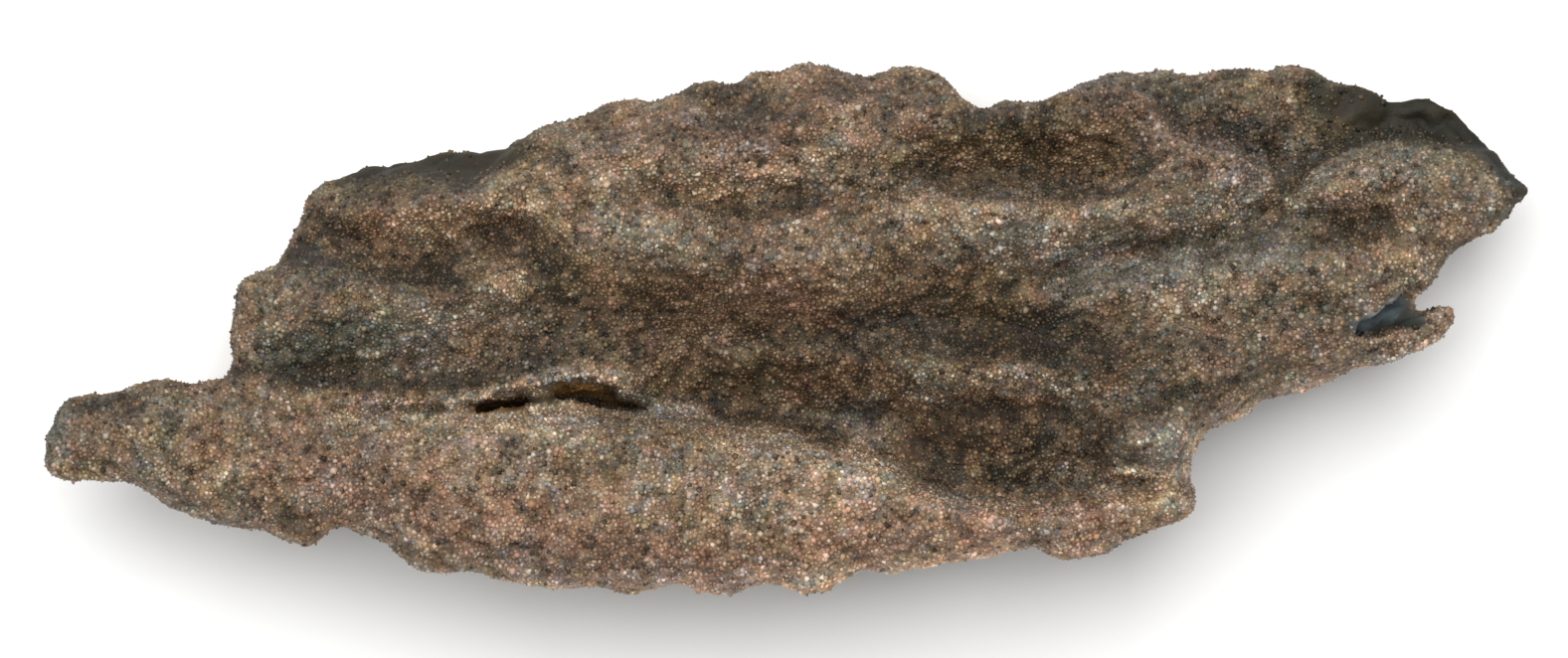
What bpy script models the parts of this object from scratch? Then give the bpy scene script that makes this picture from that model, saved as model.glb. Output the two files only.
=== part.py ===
"""Fulgurite: a flattened, ribbed tube of sand that lightning fused, lying on its back.

Metres, +Z up. +X runs along the length, the broad ribbed face looks up and the fat lobe lies
along the -Y side. The origin is the middle of the base of its box, on the surface it rests on.
The crust is worked out as a front and a back relief over one rim outline, then two hollows are
cut: the slit under the overhanging lip and the mouth of the tube at the +X end.
"""
import bmesh
import bpy
import numpy as np
from mathutils import Matrix, Vector, noise

NAME = "fulgurite"
MM = 0.001

# ---- Driving dimensions (millimetres) ------------------------------------------------------
LENGTH = 93.0            # along X, tip to tip
WIDTH = 33.4             # along Y, crown to lower rim
RIM_HEIGHT = 8.2         # height of the rim's middle line above the resting surface
FRONT_RISE = 4.8         # plain height of the front face over the rim line
BACK_DROP = 5.0          # plain depth of the back face under the rim line
FRONT_ROUND_UPPER = 4.4  # distance from the rim over which the front rounds, on the +Y side
FRONT_ROUND_LOWER = 1.3  # the same on the -Y side, where the face runs out to a crisp edge
LOWER_SIDE = -3.0        # y under which the rim counts as the lower one
LOWER_BLEND = 3.0        # distance over which the upper rounding gives way to the lower
BACK_ROUND = 6.5         # distance from the rim over which the back rounds to full depth
EDGE_SHARE = 0.22        # share of the full height that is left at the rim itself
SIDE_SWING = 1.3         # how far the sides draw in above and below their widest line
SIDE_BAND = 3.2          # how far in from the rim that drawing in reaches
SIDE_HALF = 3.0          # height over or under the widest line at which the sides draw in
WIDEST_SWAY = 1.5        # how far the widest line strays up and down
WIDEST_SIZE = 9.0        # size of that straying
SIDE_LUMP_SIZE = 3.5     # size of the lumps down the sides
SIDE_DRAW = 0.55         # share of the drawing in between those lumps
SIDE_DRAW_LUMPS = 0.9    # how much more the lumps draw in
END_THINNING = 0.42      # share of the thickness that is lost at the two ends
END_START = 0.45         # share of the half length at which that thinning starts
LOWEST_FRONT = -2.6      # how far the front's valleys may sink under the rim line
LEAST_THICKNESS = 2.4    # least thickness between the two faces before they round to the rim
GRID_STEP = 0.55         # spacing of the crust's working grid
CRUST_FACES = 8200       # triangles that the finished crust is brought down to
SLAB_HALF = 3.0          # half thickness of the flat slab that the crust starts from
SOFTEN_PASSES = 3        # smoothing passes that take the grid's steps out

# ---- Rim outline, clockwise from the left end of the lobe (x, y) -----------------------------
LOBE_END = [
    (-46.4, -8.4), (-46.0, -6.3), (-45.5, -5.0), (-44.9, -4.4), (-43.9, -4.1), (-43.1, -4.3),
    (-41.2, -3.8), (-40.0, -3.4), (-39.2, -3.2), (-37.5, -3.5), (-36.0, -3.4), (-34.9, -3.1),
]
LEFT_STEP = [
    (-34.6, -2.6), (-34.9, -0.6), (-34.6, 1.1), (-34.3, 1.5), (-34.5, 2.3), (-33.9, 3.2),
    (-32.9, 3.3), (-32.1, 3.7), (-31.3, 5.0), (-30.4, 6.9), (-30.1, 8.2), (-29.5, 8.8),
]
LEFT_FLANGE = [
    (-27.8, 9.4), (-26.1, 10.1), (-23.6, 10.2), (-21.4, 11.0), (-19.4, 10.9), (-18.1, 11.0),
    (-16.6, 11.8), (-15.1, 12.8), (-14.1, 13.0), (-12.7, 13.2), (-11.5, 13.8), (-10.0, 14.4),
    (-8.6, 14.1),
]
CROWN_RIM = [
    (-6.7, 14.8), (-5.1, 15.5), (-4.3, 15.4), (-3.4, 15.1), (-1.9, 16.0), (-0.4, 15.9),
    (0.8, 16.6), (1.9, 16.5), (4.2, 16.0), (5.2, 15.6), (6.8, 16.2), (9.1, 16.2),
    (10.4, 15.3), (11.1, 14.2),
]
NOTCH = [(12.0, 13.6), (13.6, 14.2), (14.6, 14.1), (15.4, 13.9), (16.6, 14.3), (18.0, 15.1)]
RIGHT_RIM = [
    (20.2, 15.8), (22.3, 16.0), (23.2, 15.9), (23.9, 16.2), (25.0, 15.8), (26.6, 16.0),
    (28.6, 16.4), (29.6, 16.2), (30.5, 15.8), (31.5, 16.5), (32.4, 16.6), (33.4, 16.0),
    (34.5, 15.4), (36.2, 15.1), (38.1, 14.1), (40.1, 14.3), (41.6, 13.8), (43.1, 12.6),
    (45.0, 10.3),
]
TIP = [
    (46.5, 8.4), (45.7, 7.8), (44.5, 5.9), (43.3, 5.5), (42.4, 5.2), (41.4, 4.1), (40.8, 3.2),
    (40.4, 2.4), (39.3, 1.95),
]
PRONG = [
    (39.3, 1.4), (39.8, 0.95), (40.5, 0.95), (41.4, 1.5), (42.0, 1.2), (42.0, 0.4),
    (41.2, -0.6), (40.4, -1.2), (38.8, -1.8), (36.6, -2.3), (34.7, -2.9), (33.1, -3.8),
    (31.2, -4.2), (29.7, -4.7),
]
LOWER_RIGHT = [
    (28.6, -5.7), (27.2, -6.1), (26.3, -6.5), (25.7, -7.6), (25.1, -9.4), (25.7, -10.3),
    (25.8, -11.2), (25.1, -12.0), (23.4, -12.4), (21.8, -13.0), (20.3, -13.9), (18.6, -14.3),
    (17.3, -14.7), (16.7, -14.4), (16.0, -13.8), (14.9, -13.8),
]
LOWER_RIM = [
    (12.2, -14.4), (9.7, -14.7), (8.0, -15.1), (6.9, -15.3), (5.3, -15.0), (4.3, -15.0),
    (3.5, -15.8), (3.1, -16.2), (1.9, -16.5), (1.1, -16.6), (-0.1, -15.8), (-1.4, -16.0),
    (-3.8, -16.5), (-5.6, -16.3), (-7.0, -15.9), (-8.1, -16.1), (-9.3, -16.7), (-10.6, -16.4),
    (-11.5, -16.0), (-13.1, -16.3), (-16.3, -16.0), (-18.8, -15.4), (-19.7, -15.0),
    (-20.9, -15.3), (-23.1, -15.0), (-24.3, -13.8), (-25.9, -12.9), (-26.6, -12.5),
    (-28.1, -12.4), (-29.1, -13.4), (-30.1, -13.7), (-31.4, -13.1), (-32.6, -12.6),
    (-34.4, -12.5), (-36.3, -12.0), (-38.7, -11.1), (-40.0, -10.1), (-41.2, -9.6),
    (-44.0, -9.5), (-45.8, -9.2),
]

# ---- Relief: each line is (points, width above it, width below it), each point (x, y, rise) --
FRONT_RIDGES = [
    # the fat lobe along the lower side, and its plain lower edge
    ([(-43.8, -6.9, -0.8), (-36.9, -7.4, 0.2), (-29.4, -8.0, 0.6), (-21.3, -8.8, 0.9),
      (-11.9, -9.0, 1.2), (-2.5, -9.8, 1.2), (6.9, -11.4, 0.8), (16.3, -12.4, 0.2),
      (23.8, -11.1, 0.2)], 3.4, 4.0),
    ([(-36.0, -11.8, -1.2), (-30.0, -13.2, -1.4), (-22.0, -14.6, -1.6), (-8.0, -15.8, -1.6),
      (3.0, -15.6, -1.6), (12.0, -14.2, -1.6), (24.0, -12.0, -1.2)], 2.6, 2.6),
    # the crown, broad and high
    ([(-15.6, 8.6, 1.4), (-10.6, 10.6, 2.2), (-1.9, 11.4, 2.4), (4.4, 12.4, 2.2),
      (8.8, 13.6, 1.4)], 3.4, 3.6),
    # middle ridge: a soft left half, then a right half with a crisp upper edge
    ([(-14.4, 5.4, 2.2), (-8.8, 5.2, 3.0), (-1.9, 4.6, 3.4), (4.4, 4.8, 3.6)], 2.0, 2.3),
    ([(5.0, 7.3, 1.6), (9.0, 7.5, 3.0), (13.8, 7.5, 3.8), (20.6, 7.6, 3.6), (26.5, 8.2, 2.4),
      (29.6, 8.8, 0.8)], 0.85, 3.2),
    ([(22.0, 10.4, 1.8), (27.6, 10.4, 1.8)], 1.2, 2.2),
    # right ridge, running out to the tip
    ([(16.9, 1.9, 1.4), (22.5, 2.8, 2.8), (28.8, 3.9, 3.2), (35.0, 4.3, 3.0),
      (40.0, 4.2, 2.0)], 0.95, 3.2),
    # bump of the right end and bumps of the left end
    ([(33.3, 8.6, 2.0), (37.6, 10.4, 2.8), (43.4, 9.2, 2.2)], 0.9, 2.2),
    ([(-34.1, 2.0, 2.2), (-28.8, 2.1, 3.0), (-22.5, 1.8, 2.8), (-18.6, 2.4, 2.8)], 1.4, 2.2),
    ([(-27.8, 8.0, 1.8), (-23.8, 8.0, 2.4), (-20.0, 8.6, 2.2)], 0.9, 1.6),
    ([(-18.2, 3.0, 1.6), (-17.8, 2.6, 1.6)], 1.6, 1.6),
    # faint ridge on the long slope, and the low flank right of it
    ([(5.6, -3.2, 1.4), (10.0, -2.3, 2.2), (15.0, -1.9, 2.2), (18.8, -2.5, 1.4)], 0.7, 1.6),
    ([(20.0, -1.5, 1.6), (26.9, -1.5, 1.8), (33.1, -1.1, 1.2)], 1.5, 2.4),
    # pale block and thin sill beside the end knob of the lobe
    ([(21.6, -6.8, 4.6), (24.8, -6.4, 3.4)], 1.3, 1.6),
    ([(20.8, -9.0, 2.2), (24.8, -9.0, 1.6)], 0.5, 0.4),
    # knobs along the top of the lobe
    ([(-12.4, -6.3, 1.5), (-9.6, -6.4, 1.5)], 1.1, 1.6),
    ([(-3.2, -7.6, 1.6), (0.6, -7.6, 1.6)], 1.1, 1.6),
    ([(4.8, -9.0, 1.4), (7.6, -9.4, 1.4)], 1.0, 1.4),
    # the lip that hangs over the groove
    ([(-33.0, -3.4, 1.0), (-24.4, -4.1, 1.4), (-19.4, -4.7, 2.2), (-14.6, -3.8, 2.9),
      (-11.4, -3.4, 2.8), (-8.2, -3.4, 1.2)], 1.1, 0.4),
]
FRONT_VALLEYS = [
    # groove between the body and the lobe: under the left bulge, then the long slope
    ([(-34.9, -3.3, -1.2), (-30.6, -3.9, -3.0), (-24.4, -4.6, -3.8), (-19.4, -5.0, -4.0),
      (-14.4, -4.6, -2.2)], 1.9, 0.9),
    ([(-14.6, -4.7, -2.0), (-10.6, -4.7, -4.2), (-6.9, -5.2, -6.8), (-2.5, -6.1, -8.2),
      (2.5, -6.7, -8.2), (5.6, -7.5, -8.2), (8.8, -9.2, -8.0), (11.3, -10.3, -7.4),
      (16.9, -10.6, -6.8), (19.6, -10.0, -5.4), (25.0, -9.6, -1.8)], 4.2, 0.8),
    # the foot of the middle ridge, the floor of the slope and the hollow over the lobe
    ([(-15.6, 0.6, -1.0), (-6.9, 0.9, -1.8), (3.8, 0.9, -2.2), (13.1, 0.9, -2.6),
      (19.4, 0.5, -1.4)], 1.0, 1.9),
    ([(-7.0, -1.0, -0.8), (-0.5, -1.4, -1.2), (4.4, -1.8, -0.8)], 1.8, 2.2),
    ([(6.9, -4.6, -0.6), (13.0, -4.5, -1.2), (19.0, -4.8, -0.8)], 0.7, 1.2),
    # recess under the notch, deepest against the crisp edge, and the one over the right ridge
    ([(7.6, 9.8, -1.0), (11.0, 9.4, -3.8), (16.0, 9.2, -4.2), (20.0, 9.5, -2.8),
      (23.0, 10.0, -0.6)], 4.2, 0.55),
    ([(16.9, 3.4, -1.2), (21.3, 4.4, -2.2), (25.6, 5.3, -2.2), (31.3, 6.9, -1.2)], 1.1, 0.6),
    # recess, underside and pit of the left end
    ([(-29.6, 5.8, -2.2), (-25.6, 4.5, -2.8), (-21.3, 4.2, -2.0)], 1.7, 0.8),
    ([(-32.5, -1.9, -0.6), (-27.5, -2.0, -1.2), (-21.3, -2.3, -0.8)], 1.3, 1.2),
    ([(-19.0, 6.3, -2.8), (-17.4, 6.4, -2.8)], 1.1, 0.8),
    # pits and dips of the crown and the right end
    ([(33.4, 6.8, -2.4), (36.6, 7.0, -2.4)], 1.0, 0.8),
    ([(-8.8, 8.3, -1.0), (-3.1, 8.0, -1.6), (0.6, 8.2, -1.2)], 1.0, 0.9),
    ([(-4.8, 13.4, -1.3), (-4.0, 13.4, -1.3)], 1.2, 1.2),
    ([(26.3, 12.5, -1.5), (27.7, 12.5, -1.5)], 1.0, 1.0),
    ([(28.9, 11.3, -1.2), (31.4, 9.6, -1.6)], 1.0, 1.0),
]
# Ledges: the face above the line drops back, to the flange behind it; (points, ramp)
LEDGE_FADE = 1.5
FRONT_LEDGES = [
    ([(-28.4, 8.7, 2.0), (-26.1, 9.5, 3.0), (-22.5, 9.3, 3.2), (-19.9, 9.0, 3.2),
      (-19.2, 9.9, 2.6), (-16.9, 10.8, 1.4)], 0.45),
    ([(31.6, 9.8, 1.8), (35.0, 10.8, 3.0), (38.1, 12.0, 3.4), (41.3, 11.8, 3.2),
      (44.0, 10.3, 2.4)], 0.45),
]
BACK_RIDGES = [
    ([(-34.0, 1.0, 1.2), (-22.0, 3.4, 2.8), (-10.0, 5.2, 2.2), (2.0, 4.0, 2.0),
      (13.0, 5.6, 2.4), (24.0, 4.8, 2.8), (38.0, 6.4, 2.2)], 2.6, 2.8),
    ([(-42.0, -6.6, 1.4), (-27.0, -7.4, 3.6), (-13.0, -8.2, 5.6), (-1.0, -8.9, 5.2),
      (10.0, -8.8, 5.0), (19.0, -8.2, 4.8), (24.0, -9.0, 2.6)], 3.0, 3.4),
    ([(-16.0, 9.6, 0.8), (-5.0, 11.4, 1.8), (7.0, 11.2, 1.6)], 1.6, 1.8),
    ([(17.0, 11.6, 1.0), (26.0, 11.8, 1.8), (36.0, 11.0, 1.2)], 1.4, 1.6),
    ([(-6.0, -1.6, 1.2), (4.0, -2.6, 1.8), (16.0, -2.4, 1.4), (28.0, -1.6, 1.2)], 1.2, 1.4),
    ([(-26.0, -12.6, 1.2), (-14.0, -14.4, 1.8), (-2.0, -14.6, 2.2), (10.0, -13.4, 1.8)],
     0.8, 1.0),
]
# Knobs that it rests on
BACK_KNOBS = [
    ([(-22.0, 2.8, 1.6), (-20.4, 3.2, 1.6)], 1.9, 1.9),
    ([(23.6, 4.6, 1.3), (25.6, 4.8, 1.3)], 1.9, 1.9),
    ([(-12.6, -8.2, 1.0), (-9.6, -8.6, 1.0)], 1.9, 1.9),
    ([(16.0, -8.4, 1.4), (18.0, -8.2, 1.4)], 1.7, 1.7),
]
BACK_VALLEYS = [
    ([(-33.0, -3.0, -1.6), (-20.0, -2.4, -2.4), (-8.0, -3.8, -2.6), (4.0, -5.0, -2.2),
      (14.0, -5.0, -1.8), (22.0, -4.6, -1.2)], 1.4, 1.4),
    ([(-26.0, 7.6, -1.4), (-14.0, 7.4, -2.0), (-2.0, 8.6, -1.8), (10.0, 9.0, -2.4),
      (22.0, 9.2, -2.0), (34.0, 9.4, -1.4)], 1.2, 1.3),
    ([(-4.0, 1.0, -1.4), (8.0, 1.4, -2.0), (20.0, 1.2, -1.6), (31.0, 1.6, -1.2)], 1.1, 1.2),
    ([(-28.0, -11.0, -1.2), (-15.0, -12.6, -2.2), (-4.0, -12.8, -2.4), (8.0, -12.4, -2.0)],
     0.9, 1.0),
]
# How the rim's middle line rises and falls along the outline
RIM_WAVES = [
    ([(-43.8, -8.0, 2.6), (-36.0, -11.0, 3.8), (-24.0, -14.0, 4.8), (-8.0, -15.8, 5.4),
      (3.0, -15.8, 5.2), (12.0, -14.2, 4.6), (24.0, -12.0, 3.2), (29.0, -5.0, 2.2),
      (40.0, -0.6, 1.6)], 8.0, 6.0),
    ([(-28.0, 9.6, -1.6), (-18.0, 10.8, -1.4)], 2.5, 2.5),
    ([(33.0, 14.0, -1.4), (44.0, 11.0, -1.2)], 2.5, 3.0),
    ([(11.4, 13.9, 2.4), (13.6, 14.2, 3.0), (17.0, 14.4, 2.6), (20.0, 15.4, 1.4)], 2.4, 3.2),
]
# Lumps of fused sand: (size, height), coarse to fine
LUMPS = [(6.5, 1.3), (3.2, 0.75), (1.7, 0.38)]
BACK_LUMPINESS = 1.5     # how much lumpier the back is than the front
WAVER_SIZE = 7.0         # size of the waver in the ridge lines
FRONT_WAVER = 1.0        # how far that waver moves the front's lines
BACK_WAVER = 3.4         # how far it moves the back's lines
# Starting points of the noise, one for each use
FRONT_SEED, BACK_SEED, WAVER_SEEDS, SIDE_SEED, WIDEST_SEED = 3, 71, (31, 47), 57, 91

# ---- Hollows -------------------------------------------------------------------------------
# Slit, clockwise from its left tip (x, y): two openings with a narrow link between them
SLIT = [
    (-19.7, -5.3), (-18.8, -4.85), (-17.6, -4.5), (-16.6, -4.4), (-15.7, -4.3), (-14.9, -4.0),
    (-14.2, -3.7), (-13.2, -3.5), (-11.6, -3.45), (-10.8, -3.7), (-10.5, -4.2), (-9.6, -4.45),
    (-8.3, -4.7), (-9.4, -5.0), (-11.0, -5.1), (-11.9, -4.9), (-12.6, -4.55), (-14.2, -4.4),
    (-15.2, -4.55), (-16.0, -4.95), (-17.4, -5.2),
]
SLIT_LEVEL = 10.6        # height of the faces beside it
SLIT_TOP = 16.0          # height that its cutter reaches up to
SLIT_FLOOR = 7.0         # height of its floor
SLIT_LEAN = 0.2          # how far it runs under the lobe, for each millimetre of depth
# Tube mouth: (x, y, height, radius) along its middle, from the outside in
TUBE_LINE = [
    (41.0, 2.3, 10.5, 1.0), (38.6, 1.4, 10.4, 1.3), (36.4, 0.7, 10.2, 1.3),
    (32.5, 0.6, 9.9, 1.2), (28.0, 0.9, 9.6, 1.0), (23.5, 1.3, 9.4, 0.55),
]
# The front wall of the mouth is broken away over this outline
MOUTH_BREAK = [
    (35.4, -0.10), (35.8, -0.62), (36.6, -0.66), (38.5, 0.05), (40.2, 0.85), (41.4, 1.7),
    (40.6, 2.1), (38.6, 1.95), (36.6, 0.6),
]
MOUTH_BREAK_FLOOR = 9.7  # height of the break's floor, inside the tube
MOUTH_BREAK_TOP = 18.0
GROUND_DEPTH = 12.0      # thickness of the block that flattens the knobs it rests on


def clear_scene():
    """Start from an empty scene."""
    for obj in list(bpy.data.objects):
        bpy.data.objects.remove(obj, do_unlink=True)


def new_collection(name):
    """A collection linked under the scene."""
    collection = bpy.data.collections.new(name)
    bpy.context.scene.collection.children.link(collection)
    return collection


def fused_sand_material():
    """Rough, warm grey-brown sand crust."""
    material = bpy.data.materials.new("fused_sand")
    material.use_nodes = True
    shader = material.node_tree.nodes["Principled BSDF"]
    shader.inputs["Base Color"].default_value = (0.170, 0.126, 0.089, 1.0)
    shader.inputs["Roughness"].default_value = 0.85
    shader.inputs["Metallic"].default_value = 0.0
    return material


def mesh_from(obj, name):
    """The evaluated mesh of an object, as a new mesh with its doubles merged."""
    graph = bpy.context.evaluated_depsgraph_get()
    mesh = bpy.data.meshes.new_from_object(obj.evaluated_get(graph))
    mesh.name = name
    work = bmesh.new()
    work.from_mesh(mesh)
    bmesh.ops.remove_doubles(work, verts=work.verts, dist=0.00001)
    bmesh.ops.recalc_face_normals(work, faces=work.faces)
    work.to_mesh(mesh)
    work.free()
    return mesh


def rim_outline():
    """The whole outline in millimetres, fitted to LENGTH and WIDTH about its middle."""
    points = np.array(LOBE_END + LEFT_STEP + LEFT_FLANGE + CROWN_RIM + NOTCH + RIGHT_RIM + TIP
                      + PRONG + LOWER_RIGHT + LOWER_RIM)
    low, high = points.min(axis=0), points.max(axis=0)
    return (points - (low + high) / 2) * np.array([LENGTH, WIDTH]) / (high - low)


def flat_slab(name, outline, half, collection):
    """A closed slab over a smooth outline (mm), from -half to +half."""
    curve = bpy.data.curves.new(name, "CURVE")
    curve.dimensions = "2D"
    curve.fill_mode = "BOTH"
    curve.extrude = half * MM
    curve.resolution_u = 4
    spline = curve.splines.new("BEZIER")
    spline.bezier_points.add(len(outline) - 1)
    spline.use_cyclic_u = True
    for knot, (x, y) in zip(spline.bezier_points, outline):
        knot.co = (x * MM, y * MM, 0.0)
        knot.handle_left_type = "AUTO"
        knot.handle_right_type = "AUTO"
    guide = bpy.data.objects.new(name + "_curve", curve)
    collection.objects.link(guide)
    slab = bpy.data.objects.new(name, mesh_from(guide, name))
    bpy.data.objects.remove(guide, do_unlink=True)
    collection.objects.link(slab)
    return slab


def working_skin(slab):
    """The slab's surface on an even grid."""
    remesh = slab.modifiers.new("grid", "REMESH")
    remesh.mode = "VOXEL"
    remesh.voxel_size = GRID_STEP * MM
    mesh = mesh_from(slab, "skin")
    slab.modifiers.remove(remesh)
    return mesh


def rim_reach(spots, outline):
    """Distance (mm) from each spot to the outline, and the unit way in from the rim."""
    nearest = np.full(len(spots), np.inf)
    inward = np.zeros((len(spots), 2))
    for start, end in zip(outline, np.roll(outline, -1, axis=0)):
        span = end - start
        share = np.clip((spots - start) @ span / (span @ span), 0.0, 1.0)
        reach = np.linalg.norm(spots - start - share[:, None] * span, axis=1)
        closer = reach < nearest
        nearest[closer] = reach[closer]
        inward[closer] = np.array([span[1], -span[0]]) / np.linalg.norm(span)
    return nearest, inward


def along_line(spots, line):
    """For each spot: signed distance to a line (+ on its upper side) and the line's rise there."""
    nearest = np.full(len(spots), np.inf)
    signed = np.zeros(len(spots))
    rise = np.zeros(len(spots))
    knots = np.array(line)
    for start, end in zip(knots[:-1], knots[1:]):
        span = end[:2] - start[:2]
        offset = spots - start[:2]
        share = np.clip(offset @ span / (span @ span), 0.0, 1.0)
        reach = np.linalg.norm(offset - share[:, None] * span, axis=1)
        side = np.sign(span[0] * offset[:, 1] - span[1] * offset[:, 0])
        closer = reach < nearest
        nearest = np.where(closer, reach, nearest)
        signed = np.where(closer, side * reach, signed)
        rise = np.where(closer, start[2] + share * (end[2] - start[2]), rise)
    return signed, rise


def ridge_relief(spots, lines):
    """Sum of the rounded ridges or valleys."""
    total = np.zeros(len(spots))
    for line, above, below in lines:
        signed, rise = along_line(spots, line)
        width = np.where(signed > 0, above, below)
        total += rise * np.exp(-(signed / width) ** 2)
    return total


def ledge_relief(spots, lines):
    """Drop of the face above each ledge line, fading past the line's ends and far above it."""
    total = np.zeros(len(spots))
    for line, ramp in lines:
        signed, drop = along_line(spots, line)
        knots = np.array(line)
        step = 0.5 + 0.5 * np.tanh(signed / ramp)
        past = np.maximum(knots[0, 0] - spots[:, 0], spots[:, 0] - knots[-1, 0])
        total -= drop * step * np.exp(-(np.maximum(past, 0.0) / LEDGE_FADE) ** 2)
    return total


def smooth_noise(spots, height, size, seed):
    """Soft noise in -1..1 at each spot, with features of the given size (mm)."""
    shift = Vector((seed * 17.3, seed * 5.9, seed * 11.1))
    return np.array([noise.noise(Vector((x / size, y / size, z / size)) + shift)
                     for (x, y), z in zip(spots, height)])


def lumpy(spots, height, seed):
    """Lumps of fused sand, coarse to fine."""
    total = np.zeros(len(spots))
    for order, (size, rise) in enumerate(LUMPS):
        total += rise * smooth_noise(spots, height, size, seed + order)
    return total


def end_fullness(x):
    """Thickness share along the length: whole in the middle, thinner at both ends."""
    reach = np.clip((np.abs(x) / (LENGTH / 2) - END_START) / (1.0 - END_START), 0.0, 1.0)
    return 1.0 - END_THINNING * reach ** 1.5


def rounded_edge(share):
    """Quarter-ellipse rise from the rim, share 0, to the full height, share 1."""
    inside = 1.0 - np.clip(share, 0.0, 1.0)
    return EDGE_SHARE + (1.0 - EDGE_SHARE) * np.sqrt(1.0 - inside ** 2)


def shape_crust(mesh, outline):
    """Raise the slab's two faces to the front and the back relief."""
    count = len(mesh.vertices)
    places = np.empty(count * 3)
    mesh.vertices.foreach_get("co", places)
    places = places.reshape(count, 3) / MM
    spots = places[:, :2].copy()
    level = np.clip(places[:, 2] / SLAB_HALF, -1.0, 1.0)

    flat = np.zeros(count)
    waver = np.stack([smooth_noise(spots, flat, WAVER_SIZE, seed) for seed in WAVER_SEEDS],
                     axis=1)
    warped = spots + FRONT_WAVER * waver
    back_warped = spots + BACK_WAVER * waver

    reach, inward = rim_reach(spots, outline)
    lower_share = 0.5 - 0.5 * np.tanh((spots[:, 1] - LOWER_SIDE) / LOWER_BLEND)
    front_round = FRONT_ROUND_UPPER + (FRONT_ROUND_LOWER - FRONT_ROUND_UPPER) * lower_share
    fullness = end_fullness(spots[:, 0])
    front_swell = fullness * rounded_edge(reach / front_round)
    back_swell = fullness * rounded_edge(reach / BACK_ROUND)

    rim = RIM_HEIGHT + ridge_relief(warped, RIM_WAVES)
    front = (FRONT_RISE + ridge_relief(warped, FRONT_RIDGES)
             + ridge_relief(warped, FRONT_VALLEYS) + ledge_relief(warped, FRONT_LEDGES)
             + lumpy(spots, flat, FRONT_SEED))
    back = (BACK_DROP + ridge_relief(back_warped, BACK_RIDGES)
            + ridge_relief(back_warped, BACK_VALLEYS) + ridge_relief(spots, BACK_KNOBS)
            + BACK_LUMPINESS * lumpy(spots, flat, BACK_SEED))
    front = np.maximum(front, LOWEST_FRONT)
    back = np.maximum(back, LEAST_THICKNESS - front)
    lift = level * np.where(level > 0, front_swell * front, back_swell * back)
    height = rim + lift

    widest = WIDEST_SWAY * smooth_noise(spots, flat, WIDEST_SIZE, WIDEST_SEED)
    draw_in = SIDE_SWING * (1.0 - np.exp(-((lift - widest) / SIDE_HALF) ** 2))
    side_lumps = smooth_noise(spots, height, SIDE_LUMP_SIZE, SIDE_SEED)
    draw_in *= SIDE_DRAW + SIDE_DRAW_LUMPS * np.maximum(side_lumps, 0.0)
    draw_in *= np.exp(-(reach / SIDE_BAND) ** 2)
    places[:, :2] = spots + inward * draw_in[:, None]
    places[:, 2] = height
    mesh.vertices.foreach_set("co", (places * MM).ravel())
    mesh.update()


def helper(obj, collection):
    """Keep an object out of the model: it only cuts."""
    if obj.name not in collection.objects:
        collection.objects.link(obj)
    obj.hide_render = True
    obj.display_type = "WIRE"
    return obj


def slab_cutter(name, outline, floor, top, collection, level=0.0, lean=0.0):
    """A slab over an outline (mm), from floor to top, leaning about the height level."""
    slab = flat_slab(name, outline, (top - floor) / 2, collection)
    slab.data.transform(Matrix.Translation((0.0, 0.0, ((top + floor) / 2 - level) * MM)))
    slab.data.transform(Matrix.Shear("XY", 4, (0.0, lean)))
    slab.data.transform(Matrix.Translation((0.0, 0.0, level * MM)))
    return helper(slab, collection)


def tube_cutter(name, collection):
    """The bore of the tube: a curve whose radius follows TUBE_LINE."""
    curve = bpy.data.curves.new(name, "CURVE")
    curve.dimensions = "3D"
    curve.bevel_depth = MM
    curve.bevel_resolution = 3
    curve.use_fill_caps = True
    curve.resolution_u = 4
    spline = curve.splines.new("BEZIER")
    spline.bezier_points.add(len(TUBE_LINE) - 1)
    for knot, (x, y, z, radius) in zip(spline.bezier_points, TUBE_LINE):
        knot.co = Vector((x, y, z)) * MM
        knot.radius = radius
        knot.handle_left_type = "AUTO"
        knot.handle_right_type = "AUTO"
    guide = bpy.data.objects.new(name + "_curve", curve)
    collection.objects.link(guide)
    tube = bpy.data.objects.new(name, mesh_from(guide, name))
    bpy.data.objects.remove(guide, do_unlink=True)
    return helper(tube, collection)


def ground_cutter(name, collection):
    """A block under the resting surface, which leaves flat patches on the knobs."""
    work = bmesh.new()
    bmesh.ops.create_cube(work, size=1.0)
    size = Vector((2 * LENGTH, 2 * WIDTH, GROUND_DEPTH)) * MM
    bmesh.ops.scale(work, vec=size, verts=work.verts)
    bmesh.ops.translate(work, vec=(0.0, 0.0, -GROUND_DEPTH / 2 * MM), verts=work.verts)
    mesh = bpy.data.meshes.new(name)
    work.to_mesh(mesh)
    work.free()
    return helper(bpy.data.objects.new(name, mesh), collection)


def cut(obj, cutter):
    """Take one cutter out of the crust."""
    boolean = obj.modifiers.new("cut_" + cutter.name, "BOOLEAN")
    boolean.operation = "DIFFERENCE"
    boolean.solver = "EXACT"
    boolean.object = cutter


def triangle_count(mesh):
    """Triangles that a mesh makes."""
    return sum(len(face.vertices) - 2 for face in mesh.polygons)


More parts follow.
